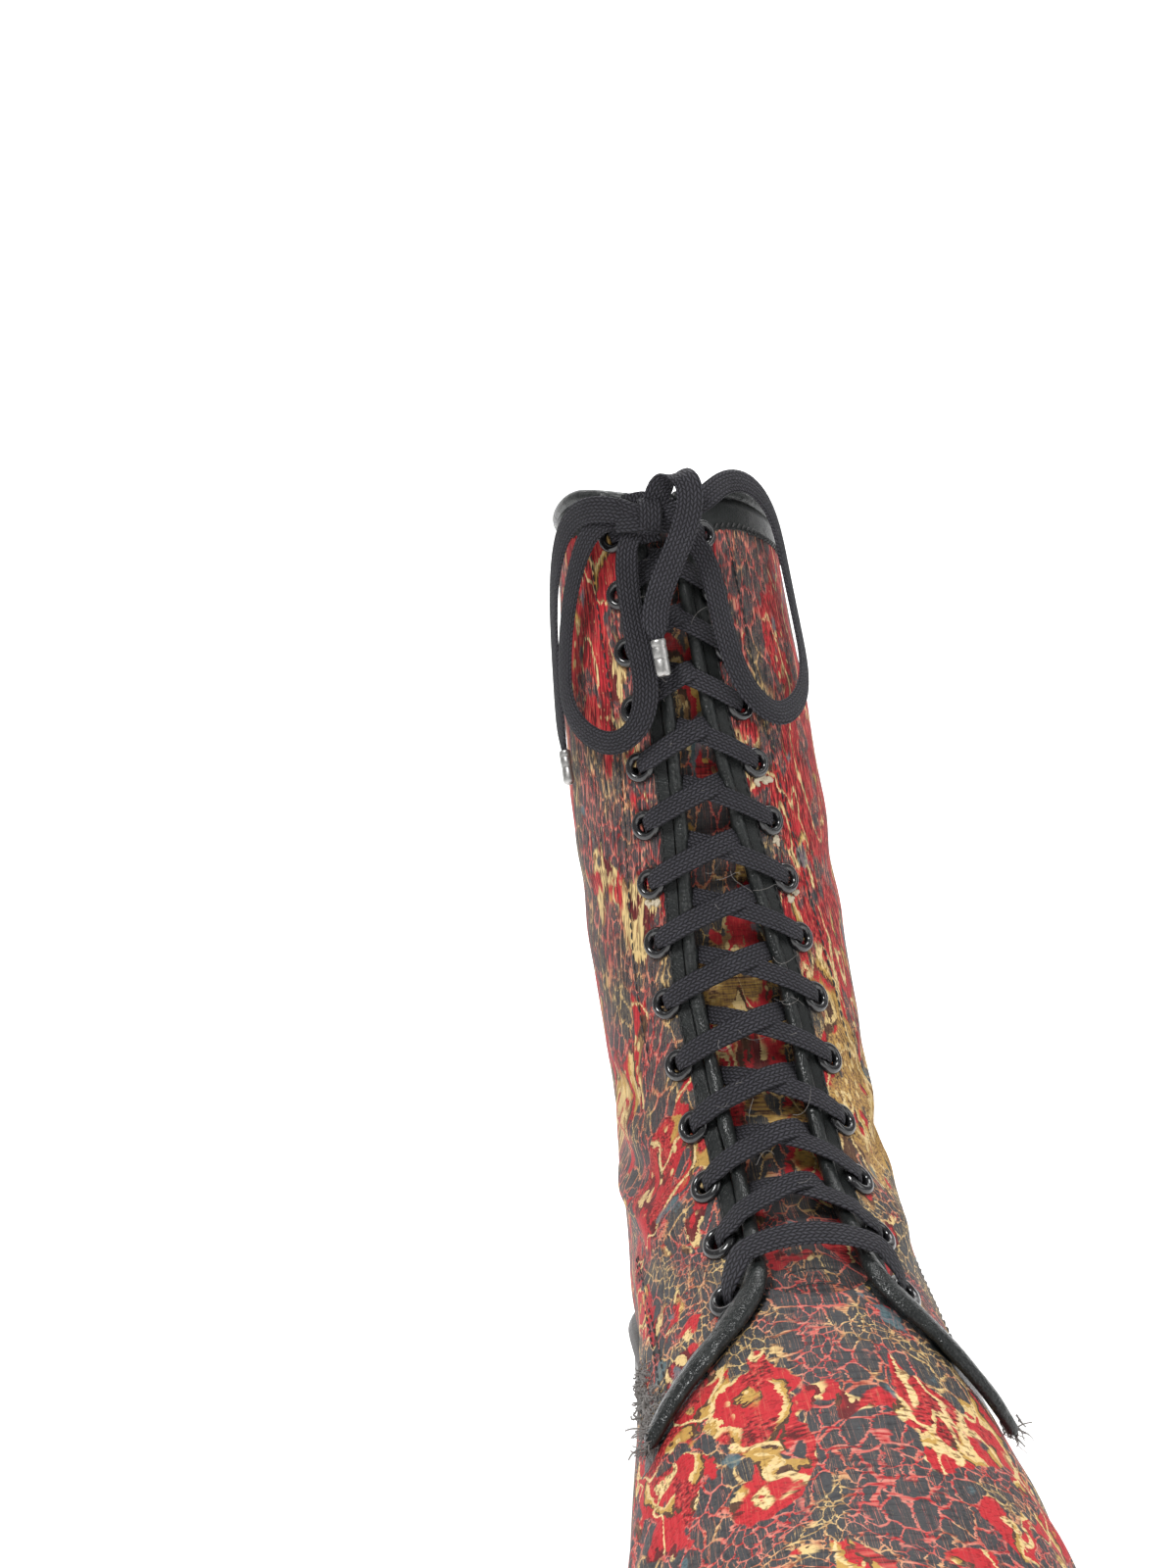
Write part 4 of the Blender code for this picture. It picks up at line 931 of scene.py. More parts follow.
bar = [(s0 + 0.5, -(e0 + 0.5), -4.6, 3.2), (s0 + 0.2, -(e0 + 0.2), -1.2, 3.5), (s0 - 0.6, -(e0 - 0.8), 1.8, 4.2),
       (s0 - 2.8, -(e0 - 3.4), 4.4, 6.2), (s0 - 6.4, -(g0 + PIPE_R + 0.6), top, 6.8), (s0 - 7.6, 0.0, top + 0.2, 7.0),
       (s0 - 6.4, g0 + PIPE_R + 0.6, top, 6.8), (s0 - 2.8, e0 - 3.4, 4.4, 6.2), (s0 - 0.6, e0 - 0.8, 1.8, 4.2),
       (s0 + 0.2, e0 + 0.2, -1.2, 3.5), (s0 + 0.5, e0 + 0.5, -4.6, 3.2)]
s, h, lift, w = through(bar, 96)
p, n = on_front(s, h, lift)
rows.put(*tape(p, n, w, LACE_T, 3.0, 0.06))
rows.make("lace_rows", BRAID, "lace", [f"lace_row_{k:02d}" for k in range(1, ROWS + 1)])


# -------------------------------------------------------------------- eyelets
EYE = ((2.2, -2.4), (2.2, 0.7), (2.4, 1.25), (2.85, 1.65), (3.35, 1.75), (3.95, 1.55), (4.4, 1.12), (4.66, 0.6),
       (4.7, 0.2), (4.45, -0.05), (2.75, -0.05), (2.7, -2.4))
eyes = Heap()
for side in (-1, 1):
    for row in range(1, ROWS + 1):
        p, n = on_front(ROW_S[row - 1], side * spread(row))
        a = np.cross(n, (0.0, 0.0, 1.0))
        a /= np.linalg.norm(a)
        b = np.cross(n, a)
        th = np.linspace(0, 2 * np.pi, 32, endpoint=False)
        prof = np.array(EYE)
        pts = (p + prof[:, 0][:, None, None] * (np.cos(th)[None, :, None] * a + np.sin(th)[None, :, None] * b)
               + prof[:, 1][:, None, None] * n).reshape(-1, 3)
        m, k = len(prof), len(th)
        faces = [(i * k + j, i * k + (j + 1) % k, ((i + 1) % m) * k + (j + 1) % k, ((i + 1) % m) * k + j)
                 for i in range(m) for j in range(k)]
        eyes.put(pts, faces)
eyes.make("eyelets", ENAMEL, "eyelet", [f"eyelet_{k}{i:02d}" for k in "ml" for i in range(1, ROWS + 1)])

# ------------------------------------------------------- piping, collar roll
PIPE_RUN = {}
for side, name in ((-1, "piping_medial"), (1, "piping_lateral")):
    route = []
    for s in np.linspace(9.0, ROW_S[-1] - 3, 20):
        route.append(on_front(s, side * (half_gap(s) + PIPE_R), pipe_lift(s))[0])
    s = ROW_S[-1] + 4
    route.append(on_front(s, side * (half_gap(s) + PIPE_R + 2.0), PIPE_R + 0.45)[0])
    for u, z in FLARE[side]:
        route.append(on_side(u, z, side, PIPE_R + 0.35)[0])
    path = resampled(route, 220)
    along = np.linspace(0, 1, 220)
    radius = PIPE_R * (1.0 + 0.035 * np.sin(along * 61) + 0.03 * np.sin(along * 143 + 1.3)
                       - 0.10 * step(0.9, 1.0, along))
    radius[0] *= 0.6
    radius[-1] *= 0.55
    PIPE_RUN[side] = path
    pts, faces = hose(path, radius, 16)
    wide = step(0.775, 0.87, along) * (1 - 0.25 * step(0.95, 1.0, along))
    run_, _, _ = transport(path)
    out_n = on_side(path[:, 0], np.minimum(path[:, 2], 92.0), side)[1]
    out_n = out_n - run_ * (out_n * run_).sum(1)[:, None]
    out_n /= np.linalg.norm(out_n, axis=1)[:, None]
    flat_way = np.cross(out_n, run_)
    q = pts.reshape(220, 16, 3) - path[:, None]
    part = (q * flat_way[:, None]).sum(2)
    back_way = np.where((flat_way[:, 0] < 0)[:, None], part > 0, part < 0)
    grow = np.where(back_way, 0.75, 0.25) * wide[:, None]
    pts = (path[:, None] + q + (part * grow)[..., None] * flat_way[:, None]
           - (0.18 * wide[:, None] * (q * out_n[:, None]).sum(2))[..., None] * out_n[:, None]).reshape(-1, 3)
    make(name + "_cord", pts, outward(pts, faces), LEATHER, None, [name])

# pleats where the strip turns out over the vamp
pleats = Heap()
for side in (-1, 1):
    for k in np.linspace(0, 1, 6):
        s = ROW_S[-1] + 3.5 + 9.0 * k
        h = half_gap(ROW_S[-1]) + 2 * PIPE_R + 4.4 + 6.0 * k + 4.2 * np.linspace(0, 1, 9)
        line = on_front(s + 1.6 * np.linspace(0, 1, 9), side * h, 0.1 + 0.8 * np.sin(np.linspace(0, math.pi, 9)))[0]
        pleats.put(*hose(line, 0.85 * np.sin(np.linspace(0.25, math.pi - 0.25, 9)) ** 0.7, 8))
pleats.make("strip_pleats", LEATHER, "trim")

edge_at = {side: on_front(8.0, side * throat_edge(8.0))[0] for side in (-1, 1)}


def collar_line(side, a):
    """u, x, z of the wall's top edge, a from the back to the throat corner."""
    back = float(back_u(COLLAR_Z))
    u = back + (edge_at[side][0] - back) * (a * a * (1.6 - 0.6 * a))
    drop = np.maximum(0.0, (u - (edge_at[side][0] - 14)) / 14)
    return u, COLLAR_Z - (COLLAR_Z - edge_at[side][2]) * drop**2


roll = []
for side in (-1, 1):
    run = []
    for a in np.linspace(0, 1, 30):
        u, z = [float(k) for k in collar_line(side, a)]
        x = float(wall_x(u, z, side)) if 0 < a < 1 else (float(middle(u, z)) if a == 0 else edge_at[side][1])
        inward = np.array([float(middle(u, z)) - x, 56.0 - u])
        inward /= max(np.linalg.norm(inward), 1e-6)
        run.append((u + inward[1] * WALL / 2, x + inward[0] * WALL / 2, z + ROLL_R + 0.1))
    roll = run[::-1] + roll[1:] if side < 0 else roll + run[1:]
path = resampled(roll, 240)
pts, faces = hose(path, ROLL_R * (1 + 0.02 * np.sin(np.linspace(0, 90, 240))), 16)
make("collar_roll_edge", pts, outward(pts, faces), LEATHER, None, ["collar_roll"])


# ---------------------------------------------------------------- upper, dense
# creases: side, route of u, z points, depth, half width
CREASES = (
    (-1, ((58, 111), (78, 109), (96, 107), (110, 106), (124, 106), (138, 107)), 2.0, 5.0),
    (-1, ((78, 90), (96, 87), (114, 88), (130, 91)), 1.2, 5.0),
    (-1, ((88, 131), (102, 126), (118, 125)), 1.1, 4.0),
    (-1, ((118, 92), (134, 88), (150, 90)), 1.1, 4.5),
    (1, ((92, 121), (108, 113), (124, 109), (138, 108)), 1.5, 5.0),
    (1, ((76, 108), (94, 102), (114, 99), (132, 99)), 1.5, 4.5),
    (1, ((90, 138), (104, 132), (118, 130)), 1.0, 4.5),
    (1, ((130, 92), (146, 88), (162, 88)), 0.9, 4.5),
    (-1, ((8, 118), (24, 112), (44, 112)), 1.2, 6.0),
    (1, ((8, 120), (24, 114), (44, 113)), 1.2, 6.0),
    (-1, ((14, 104), (34, 99), (56, 101)), 1.0, 6.0),
    (1, ((14, 105), (34, 100), (56, 101)), 1.0, 6.0),
    (-1, ((60, 190), (80, 182), (98, 180)), 0.8, 7.0),
    (1, ((60, 200), (80, 190), (96, 188)), 0.8, 7.0),
    (-1, ((30, 240), (52, 232), (76, 236)), 0.7, 9.0),
    (1, ((28, 232), (50, 226), (72, 230)), 0.7, 9.0),
    (-1, ((214, 36), (214, 50), (212, 64)), 0.7, 3.5),
    (1, ((216, 36), (217, 50), (215, 64)), 0.7, 3.5),
    (-1, ((205, 40), (204, 54), (204, 66)), 0.6, 3.5),
    (1, ((206, 38), (206, 52), (206, 66)), 0.6, 3.5),
)
# bulges: side, u, z, height, spread
BULGES = ((-1, 92, 98, 1.2, 14.0), (1, 118, 103, 0.8, 11.0), 
          (-1, 132, 97, 1.0, 8.0), (1, 140, 98, 0.8, 8.0))
# broad leanings of the print by area: u, x, z, reach, reach in z, red, gold, net, dark, teal, cream
AREAS = (
    (55, 26, 220, 55, 75, 0.50, 0.10, 0.10, 0.00, 0.0, 0.0),     # outer side of the shaft
    (55, -38, 230, 55, 60, 0.45, 0.05, 0.15, 0.15, 0.0, 0.0),    # inner side of the shaft, upper half
    (65, -38, 150, 50, 42, 0.15, 0.15, 0.25, 0.45, 0.0, 0.0),    # inner side, lower half
    (118, 31, 118, 34, 30, 0.00, 0.75, 0.10, 0.05, 0.0, 0.1),    # outer ankle
    (118, -32, 104, 34, 28, 0.35, 0.10, 0.15, 0.35, 0.0, 0.0),   # inner ankle
    (186, 0, 92, 20, 16, 0.00, 0.05, 0.60, 0.10, 0.0, 0.0),      # instep under the bar
    (222, 0, 72, 40, 30, 0.25, 0.05, 0.30, 0.00, 0.0, 0.1),      # vamp
    (15, 0, 60, 55, 60, 0.20, 0.10, 0.30, 0.20, 0.0, 0.0),       # heel
)


def leanings(p):
    out = np.zeros((len(p), 6))
    for row in AREAS:
        d = ((p[:, 0] - row[0]) ** 2 + (p[:, 1] - row[1]) ** 2) / row[3] ** 2 + (p[:, 2] - row[2]) ** 2 / row[4] ** 2
        out = np.maximum(out, np.exp(-d * 0.9)[:, None] * np.array(row[5:]))
    return out


def drawn(p, s):
    """Pattern place: true on the foot, drawn out along the shaft."""
    q = np.array(p, float)
    k = step(120, 215, s)
    q[:, 2] = np.where(p[:, 2] > 100, 100 + (p[:, 2] - 100) * 0.52, p[:, 2])
    return q, 1 - k


def to_line(p, q):
    """Distance of p to a polyline q in the side view, and the place along it from 0 to 1."""
    best, at = np.full(len(p), 1e9), np.zeros(len(p))
    for k in range(len(q) - 1):
        a, b = np.array(q[k], float), np.array(q[k + 1], float)
        t = np.clip(((p - a) @ (b - a)) / ((b - a) @ (b - a)), 0, 1)
        d = np.linalg.norm(p - a - t[:, None] * (b - a), axis=1)
        use = d < best
        best[use], at[use] = d[use], (k + t[use]) / (len(q) - 1)
    return best, at


def upper_grid(side, cols, rows):
    v_collar, v_throat, corner_s = 0.36, 0.69, 8.0
    toe_s = S_END - 42.0
    corner = on_front(corner_s, side * throat_edge(corner_s))[0]
    u, z = np.zeros((cols + 1, rows + 1)), np.zeros((cols + 1, rows + 1))
    fixed = {}
    b36, bc = float(back_u(36.0)), float(back_u(COLLAR_Z))
    e0, e1 = [np.array([float(q) for q in front(k)[:2]]) for k in (S_END, toe_s)]
    for c in range(cols + 1):
        v = c / cols
        a = v / v_collar
        if v <= v_collar:
            fu = b36 + (102 - b36) * (a * a * (1.6 - 0.6 * a))
        elif v <= v_throat:
            fu = 102 + (186 - 102) * (v - v_collar) / (v_throat - v_collar)
        else:
            b = (1 - v) / (1 - v_throat)
            fu = 280 - (280 - 186) * (b * b * (1.5 - 0.5 * b))
        fz = float(sole_top(fu)) + GAP
        if v <= v_collar:
            tu = bc + (corner[0] - bc) * (a * a * (1.6 - 0.6 * a))
            drop = max(0.0, (tu - (corner[0] - 14)) / 14)
            tz = COLLAR_Z - (COLLAR_Z - corner[2]) * drop**2
        elif v <= v_throat:
            s = corner_s + (THROAT_S - corner_s) * math.sin(
                math.pi / 2 * ((v - v_collar) / (v_throat - v_collar)) ** 0.85)
            t_x = on_front(s, side * max(float(throat_edge(s)), 0.0))[0]
            tu, tz = t_x[0], t_x[2]
            fixed[c] = t_x
        else:
            s = THROAT_S + (toe_s - THROAT_S) * (v - v_throat) / (1 - v_throat)
            tu, tz = [float(k) for k in front(s)[:2]]
            fixed[c] = (tu, float(middle(tu, tz)), tz)
        w = np.linspace(0, 1, rows + 1)
        if v > v_collar:
            mix = float(step(v_collar, v_throat, v))
            w = w * (1 - 0.75 * mix) + 0.75 * mix * (1 - (1 - w) ** 2)
        cu, cz = fu + (tu - fu) * w, fz + (tz - fz) * w
        if v < v_collar:
            cu = cu + (back_u(cz) - (b36 + (bc - b36) * w)) * (1 - a * a) ** 2
        toe = float(step(0.8, 1.0, v))
        if toe > 0:
            au, az = front(S_END - (S_END - toe_s) * w)[:2]
            cu = cu + toe * (au - (e0[0] + (e1[0] - e0[0]) * w))
            cz = cz + toe * (az - (e0[1] + (e1[1] - e0[1]) * w))
        u[c], z[c] = cu, cz
    x = wall_x(u, z, side)
    x[0], x[-1] = middle(u[0], z[0]), middle(u[-1], z[-1])
    g = np.stack([u, x, z], -1)
    for c, q in fixed.items():
        g[c, rows] = q
    return g


COLS, ROWS_UP = 190, 100
grids = {side: upper_grid(side, COLS, ROWS_UP) for side in (-1, 1)}
count = (COLS + 1) * (ROWS_UP + 1)
ids = {-1: np.arange(count).reshape(COLS + 1, ROWS_UP + 1)}
lat = np.arange(count, 2 * count).reshape(COLS + 1, ROWS_UP + 1)
first_ridge = int(math.ceil(0.69 * COLS))
lat[0], lat[-1] = ids[-1][0], ids[-1][-1]
lat[first_ridge:, ROWS_UP] = ids[-1][first_ridge:, ROWS_UP]
ids[1] = lat
pts = np.concatenate([grids[-1].reshape(-1, 3), grids[1].reshape(-1, 3)])
d_in, _, s_at = from_front(pts[:, 0], pts[:, 2])
h_at = pts[:, 1] - middle(pts[:, 0], pts[:, 2])
collar_z = np.zeros(len(pts))
for side in (-1, 1):
    back = float(back_u(COLLAR_Z))
    drop = np.maximum(0.0, (pts[:, 0] - (edge_at[side][0] - 14)) / 14)
    zc = COLLAR_Z - (COLLAR_Z - edge_at[side][2]) * np.minimum(drop, 1.0) ** 2
    use = (h_at < 0) if side < 0 else (h_at >= 0)
    collar_z[use] = zc[use]
# the strip beside the throat follows the piping out over the vamp
e_throat = np.abs(h_at) - throat_edge(s_at)
e_throat = np.where((s_at > THROAT_S - 7) | (d_in > 45), 99.0, e_throat)
at_back = pts[:, 0] < back_u(pts[:, 2]) + 9.0
e_throat = np.where(at_back, np.abs(h_at) - 4.6 - 1.5 * step(60, 20, pts[:, 2]), e_throat)
for side in (-1, 1):
    line = PIPE_RUN[side][(PIPE_RUN[side][:, 2] < 112)]
    near = (np.sign(h_at) == side) & (pts[:, 2] < 118) & (pts[:, 0] > 140) & (pts[:, 0] < 200)
    idx = np.nonzero(near)[0]
    diff = pts[idx][:, None] - line[None]
    dist = np.linalg.norm(diff, axis=2)
    j = dist.argmin(1)
    behind = diff[np.arange(len(idx)), j, 0] < 0.5
    val = np.where(behind, dist[np.arange(len(idx)), j] - 2.2, 99.0)
    e_throat[idx] = np.minimum(e_throat[idx], val)

faces, seen = [], set()
eye_at = np.array([on_front(ROW_S[r - 1], sd * spread(r))[0] for sd in (-1, 1) for r in range(1, ROWS + 1)])
for side in (-1, 1):
    g = ids[side]
    for c in range(COLS):
        for r in range(ROWS_UP):
            q = [g[c, r], g[c + 1, r], g[c + 1, r + 1], g[c, r + 1]]
            q = [k for i, k in enumerate(q) if k not in q[:i]]
            if len(q) > 2:
                faces.append(tuple(q if side < 0 else q[::-1]))
mid = np.array([pts[list(f)].mean(0) for f in faces])
near_eye = np.zeros(len(faces), bool)
for q in eye_at:
    near_eye |= np.linalg.norm(mid - q, axis=1) < 3.0
faces = [f for f, k in zip(faces, near_eye) if not k]
used = np.unique(np.concatenate([np.array(f) for f in faces]))
renum = -np.ones(len(pts), int)
renum[used] = np.arange(len(used))
faces = [tuple(renum[k] for k in f) for f in faces]
pts, s_at, h_at, e_throat, collar_z = pts[used], s_at[used], h_at[used], e_throat[used], collar_z[used]

# outward normals by summing face normals
w_tri = np.zeros_like(pts)
for f in faces:
    a, b, c = pts[f[0]], pts[f[1]], pts[f[2]]
    n = np.cross(b - a, c - a)
    for k in f:
        w_tri[k] += n
w_tri /= np.maximum(np.linalg.norm(w_tri, axis=1), 1e-9)[:, None]
outer = np.stack([pts[:, 0] - np.where(pts[:, 2] > 110, 56, 140), h_at, np.zeros(len(pts))], 1)
if (w_tri * outer).sum() < 0:
    faces, w_tri = [f[::-1] for f in faces], -w_tri
move = np.zeros(len(pts))
hold = step(2.0, 9.0, np.abs(np.linalg.norm(pts[:, None] - eye_at[None], axis=2).min(1))) * step(1.0, 12.0, e_throat)
for side, route, deep, half in CREASES:
    d, at = to_line(pts[:, [0, 2]], route)
    k = np.where(np.sign(h_at) == side, 1.0, 0.0) * step(4.0, 14.0, np.abs(h_at)) * np.sin(np.clip(at, 0.02, 0.98) * np.pi) ** 0.6
    move += k * deep * (-np.exp(-(d / half) ** 2) + 0.55 * np.exp(-((d - 1.9 * half) / (0.9 * half)) ** 2))
for side, u, z, high, reach in BULGES:
    d2 = ((pts[:, 0] - u) ** 2 + (pts[:, 2] - z) ** 2) / reach**2
    move += np.where(np.sign(h_at) == side, 1.0, 0.0) * high * np.exp(-d2)
# slow unevenness of worn leather
for _ in range(26):
    q = np.array([rng.uniform(5, 270), rng.uniform(-45, 45), rng.uniform(40, 295)])
    d2 = ((pts - q) ** 2).sum(1) / rng.uniform(9, 17) ** 2
    move += rng.normal(0, 0.45) * np.exp(-d2)
foot_keep = step(0.0, 5.0, pts[:, 2] - sole_top(pts[:, 0])) * step(0.0, 8.0, collar_z - pts[:, 2])
pts_out = pts + (move * hold * foot_keep)[:, None] * w_tri
pc, shaft_k = drawn(pts, s_at)
lean = leanings(pts)
edges = np.stack([e_throat, collar_z - pts[:, 2], shaft_k], 1)
upper = make("upper_skin", pts_out, faces, [PRINT, LINING], {
    "pc": pc, "shoe": pts, "edge": edges, "lean": lean[:, :3], "more": lean[:, 3:]}, ["upper"])
skin = upper.modifiers.new("wall", "SOLIDIFY")
skin.thickness, skin.offset, skin.use_even_offset = 2.0 * MM, -1, False
skin.material_offset, skin.material_offset_rim = 1, 0

# --------------------------------------------------------------------- tongue
TONGUE_IN, TONGUE_T, TONGUE_HALF = 5.2, 1.8, 26.0
ts = np.linspace(ROW_S[0] - 13.5, THROAT_S + 8, 150)
th_ = np.linspace(-1, 1, 41)
S, H = np.meshgrid(ts, th_, indexing="ij")
half = TONGUE_HALF * (0.8 + 0.2 * step(ts[0], ts[0] + 30, S))
rump = 0.45 * np.sin(S * 0.21 + 1.0) * np.cos(H * 2.2) + 0.3 * np.sin(S * 0.47 + H * 3.0)
inset = TONGUE_IN - 2.7 * step(ROW_S[-1] - 34, ROW_S[-1] - 8, S)
tp, tn = on_front(S.ravel(), (half * H).ravel(), (-inset + rump * (1 - 0.8 * step(ROW_S[-1] - 34, ROW_S[-1] - 8, S))).ravel())
nf = [(a * 41 + b, a * 41 + b + 1, (a + 1) * 41 + b + 1, (a + 1) * 41 + b) for a in range(149) for b in range(40)]
v = world(tp)
n0 = np.cross(v[nf[0][1]] - v[nf[0][0]], v[nf[0][2]] - v[nf[0][0]])
if n0 @ turned(tn)[nf[0][0]] < 0:
    nf = [f[::-1] for f in nf]
pc, shaft_k = drawn(tp + np.array([31.0, 17.0, 43.0]), S.ravel())
lean = np.zeros((len(tp), 6))
lean[:, 0] = 0.8 * np.exp(-((S.ravel() - 217) / 8) ** 2)
lean[:, 1] = 0.55 * np.exp(-((S.ravel() - 150) / 45) ** 2)
lean[:, 2] = np.maximum(0.55 * np.exp(-((S.ravel() - 110) / 22) ** 2), 0.9 * step(226, 232, S.ravel()))
edges = np.stack([np.full(len(tp), 99.0), S.ravel() - ts[0] - 2.0, shaft_k * 0.3], 1)
tongue = make("tongue_blade", tp, nf, [PRINT, LINING], {
    "pc": pc, "shoe": tp, "edge": edges, "lean": lean[:, :3], "more": lean[:, 3:]}, ["tongue"])
blade = tongue.modifiers.new("blade", "SOLIDIFY")
blade.thickness, blade.offset, blade.use_even_offset = TONGUE_T * MM, -1, True
blade.material_offset, blade.material_offset_rim = 1, 0


# --------------------------------------------------------------- sole, insole
def plan(inset, lift, stations):
    first, last = float(back_u(36.0)), 280.0
    u = first + (last - first) * stations
    z = sole_top(u) + lift
    out = []
    for side in (-1, 1):
        x = wall_x(u, z, side)
        x[0], x[-1] = middle(u[0], z[0]), middle(u[-1], z[-1])
        p = np.stack([u, x], 1)
        t = np.gradient(p, axis=0)
        t /= np.linalg.norm(t, axis=1)[:, None]
        n = np.stack([-t[:, 1], t[:, 0]], 1) * side
        n[0], n[-1] = (-1, 0), (1, 0)
        out.append(p - inset * n)
    return out


def plate(name, levels, stations, mat, nodes):
    """Closed solid through stacked outlines, read round the whole edge."""
    sec = []
    for inset, height in levels:
        med, latl = plan(inset, 0.4, stations)
        loop = np.concatenate([med, latl[-2:0:-1]])
        sec.append(np.c_[loop, height(loop[:, 0])])
    sec = np.array(sec)
    k, n = sec.shape[:2]
    p = sec.reshape(-1, 3)
    f = []
    for a in range(k - 1):
        for b in range(n):
            c = (b + 1) % n
            f.append((a * n + b, a * n + c, (a + 1) * n + c, (a + 1) * n + b))
    m = len(stations)
    for a in (0, k - 1):
        for j in range(m - 1):
            i0, i1 = j, j + 1
            o0, o1 = (n - j) % n, (n - j - 1) % n
            q = [a * n + q for q in (i0, i1, o1, o0)]
            q = [x for i, x in enumerate(q) if x not in q[:i]]
            if len(q) > 2:
                f.append(tuple(q[::-1] if a == 0 else q))
    bm = bmesh.new()
    vs = [bm.verts.new(tuple(q)) for q in world(p)]
    for q in f:
        bm.faces.new([vs[x] for x in q])
    bmesh.ops.recalc_face_normals(bm, faces=bm.faces)
    me = bpy.data.meshes.new(name)
    bm.to_mesh(me)
    bm.free()
    me.materials.append(mat)
    o = bpy.data.objects.new(name, me)
    bpy.context.scene.collection.objects.link(o)
    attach(o, "root")
    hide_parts(*nodes)
    return o


even = (1 - np.cos(np.linspace(0, math.pi, 110))) / 2
span = 280.0 - float(back_u(36.0))
marks = [(q - float(back_u(36.0))) / span for q in (67.6, 68.0, 72.0, 72.4, 165.0, 213.0)]
even = np.array([k for k in even if min(abs(k - m) for m in marks) > 0.003])
stations = np.sort(np.r_[even, marks])
top, low = (lambda u: sole_top(u)), (lambda u: sole_bottom(u))
sole = plate("sole_unit", (
    (-SOLE_LIP + 0.6, lambda u: top(u)),
    (-SOLE_LIP - 0.9, lambda u: top(u) - 0.25),
    (-SOLE_LIP - 1.6, lambda u: top(u) - 1.0),
    (-SOLE_LIP - 2.2, lambda u: top(u) - 2.2),
    (-SOLE_LIP - 1.9, lambda u: top(u) - 3.2),
    (-SOLE_LIP - 1.0, lambda u: top(u) - 3.8),
    (-SOLE_LIP - 0.35, lambda u: top(u) - 4.6),
    (-SOLE_LIP - 0.45, lambda u: 0.5 * (top(u) - 4.6) + 0.5 * (low(u) + 2.2)),
    (-SOLE_LIP - 0.2, lambda u: low(u) + 2.2),
    (-SOLE_LIP + 0.1, lambda u: low(u) + 1.2),
    (-SOLE_LIP + 0.6, lambda u: low(u) + 0.45),
    (-SOLE_LIP + 1.4, lambda u: low(u)),
), stations, RUBBER, ["sole"])
GROOVES = ((22.0, 3.5, 4.0), (38.0, 3.5, 4.0), (54.0, 3.5, 4.0), (172.0, 3.5, 4.5), (188.0, 3.5, 4.5),
           (204.0, 3.5, 4.5), (220.0, 3.5, 4.5), (236.0, 3.5, 4.5), (251.0, 3.5, 4.5))
gbm = bmesh.new()
for gu, deep, wide in GROOVES:
    floor_z = float(sole_bottom(gu))
    tilt = math.atan2(float(sole_bottom(gu + 5)) - float(sole_bottom(gu - 5)), 10.0)
    spot = Matrix.Translation(Vector(world((gu, 0, floor_z + deep - 6.0)))) @ Matrix.Rotation(-tilt, 4, "X")
    bmesh.ops.create_cube(gbm, size=1.0, matrix=spot @ Matrix.Diagonal((0.14, wide * MM, 0.012, 1)))
gme = bpy.data.meshes.new("groove_tool")
gbm.to_mesh(gme)
gbm.free()
tool = bpy.data.objects.new("groove_tool", gme)
bpy.context.scene.collection.objects.link(tool)
cut = sole.modifiers.new("lugs", "BOOLEAN")
cut.operation, cut.object, cut.solver = "DIFFERENCE", tool, "EXACT"
bpy.context.view_layer.update()
done = bpy.data.meshes.new_from_object(sole.evaluated_get(bpy.context.evaluated_depsgraph_get()))
sole.modifiers.clear()
sole.data = done
bpy.data.objects.remove(tool, do_unlink=True)
sole.data.shade_smooth()
sole.data.set_sharp_from_angle(angle=math.radians(35))

inset_st = (1 - np.cos(np.linspace(0, math.pi, 70))) / 2
bed = plate("footbed", (
    (WALL + 1.4, lambda u: sole_top(u) + GAP),
    (WALL + 1.4, lambda u: sole_top(u) + GAP + 2.0),
    (WALL + 1.7, lambda u: sole_top(u) + GAP + 2.6),
    (WALL + 2.4, lambda u: sole_top(u) + GAP + 2.8),
), inset_st, FOOTBED, ["insole"])
bed.data.shade_smooth()
bed.data.set_sharp_from_angle(angle=math.radians(35))


# ------------------------------------------------------------------- stitches
def stitch_row(heap, path, normals, pitch, length, r=0.32, slant=0.0, sink=0.05):
    """Short raised threads along a path."""
    path, normals = np.asarray(path, float), np.asarray(normals, float)
    arc = np.r_[0, np.cumsum(np.linalg.norm(np.diff(path, axis=0), axis=1))]
    for at in np.arange(pitch / 2, arc[-1] - pitch / 2, pitch):
        p = np.array([np.interp(at, arc, path[:, k]) for k in range(3)])
        q = np.array([np.interp(at + 0.4, arc, path[:, k]) for k in range(3)])
        n = np.array([np.interp(at, arc, normals[:, k]) for k in range(3)])
        n /= np.linalg.norm(n)
        t = (q - p) / np.linalg.norm(q - p)
        side = np.cross(n, t)
        t = t * math.cos(slant) + side * math.sin(slant)
        side = np.cross(n, t)
        ks = np.linspace(-1, 1, 5)
        line = np.array([p + t * k * length / 2 + n * (r * 0.9 * (1 - k * k) - sink + 0.05) for k in ks])
        rad = r * np.sqrt(np.clip(1.05 - ks**2, 0.08, 1))
        th = np.linspace(0, 2 * np.pi, 6, endpoint=False)
        sec = line[:, None] + rad[:, None, None] * (np.cos(th)[None, :, None] * side + np.sin(th)[None, :, None] * n)
        heap.put(*rings(sec))


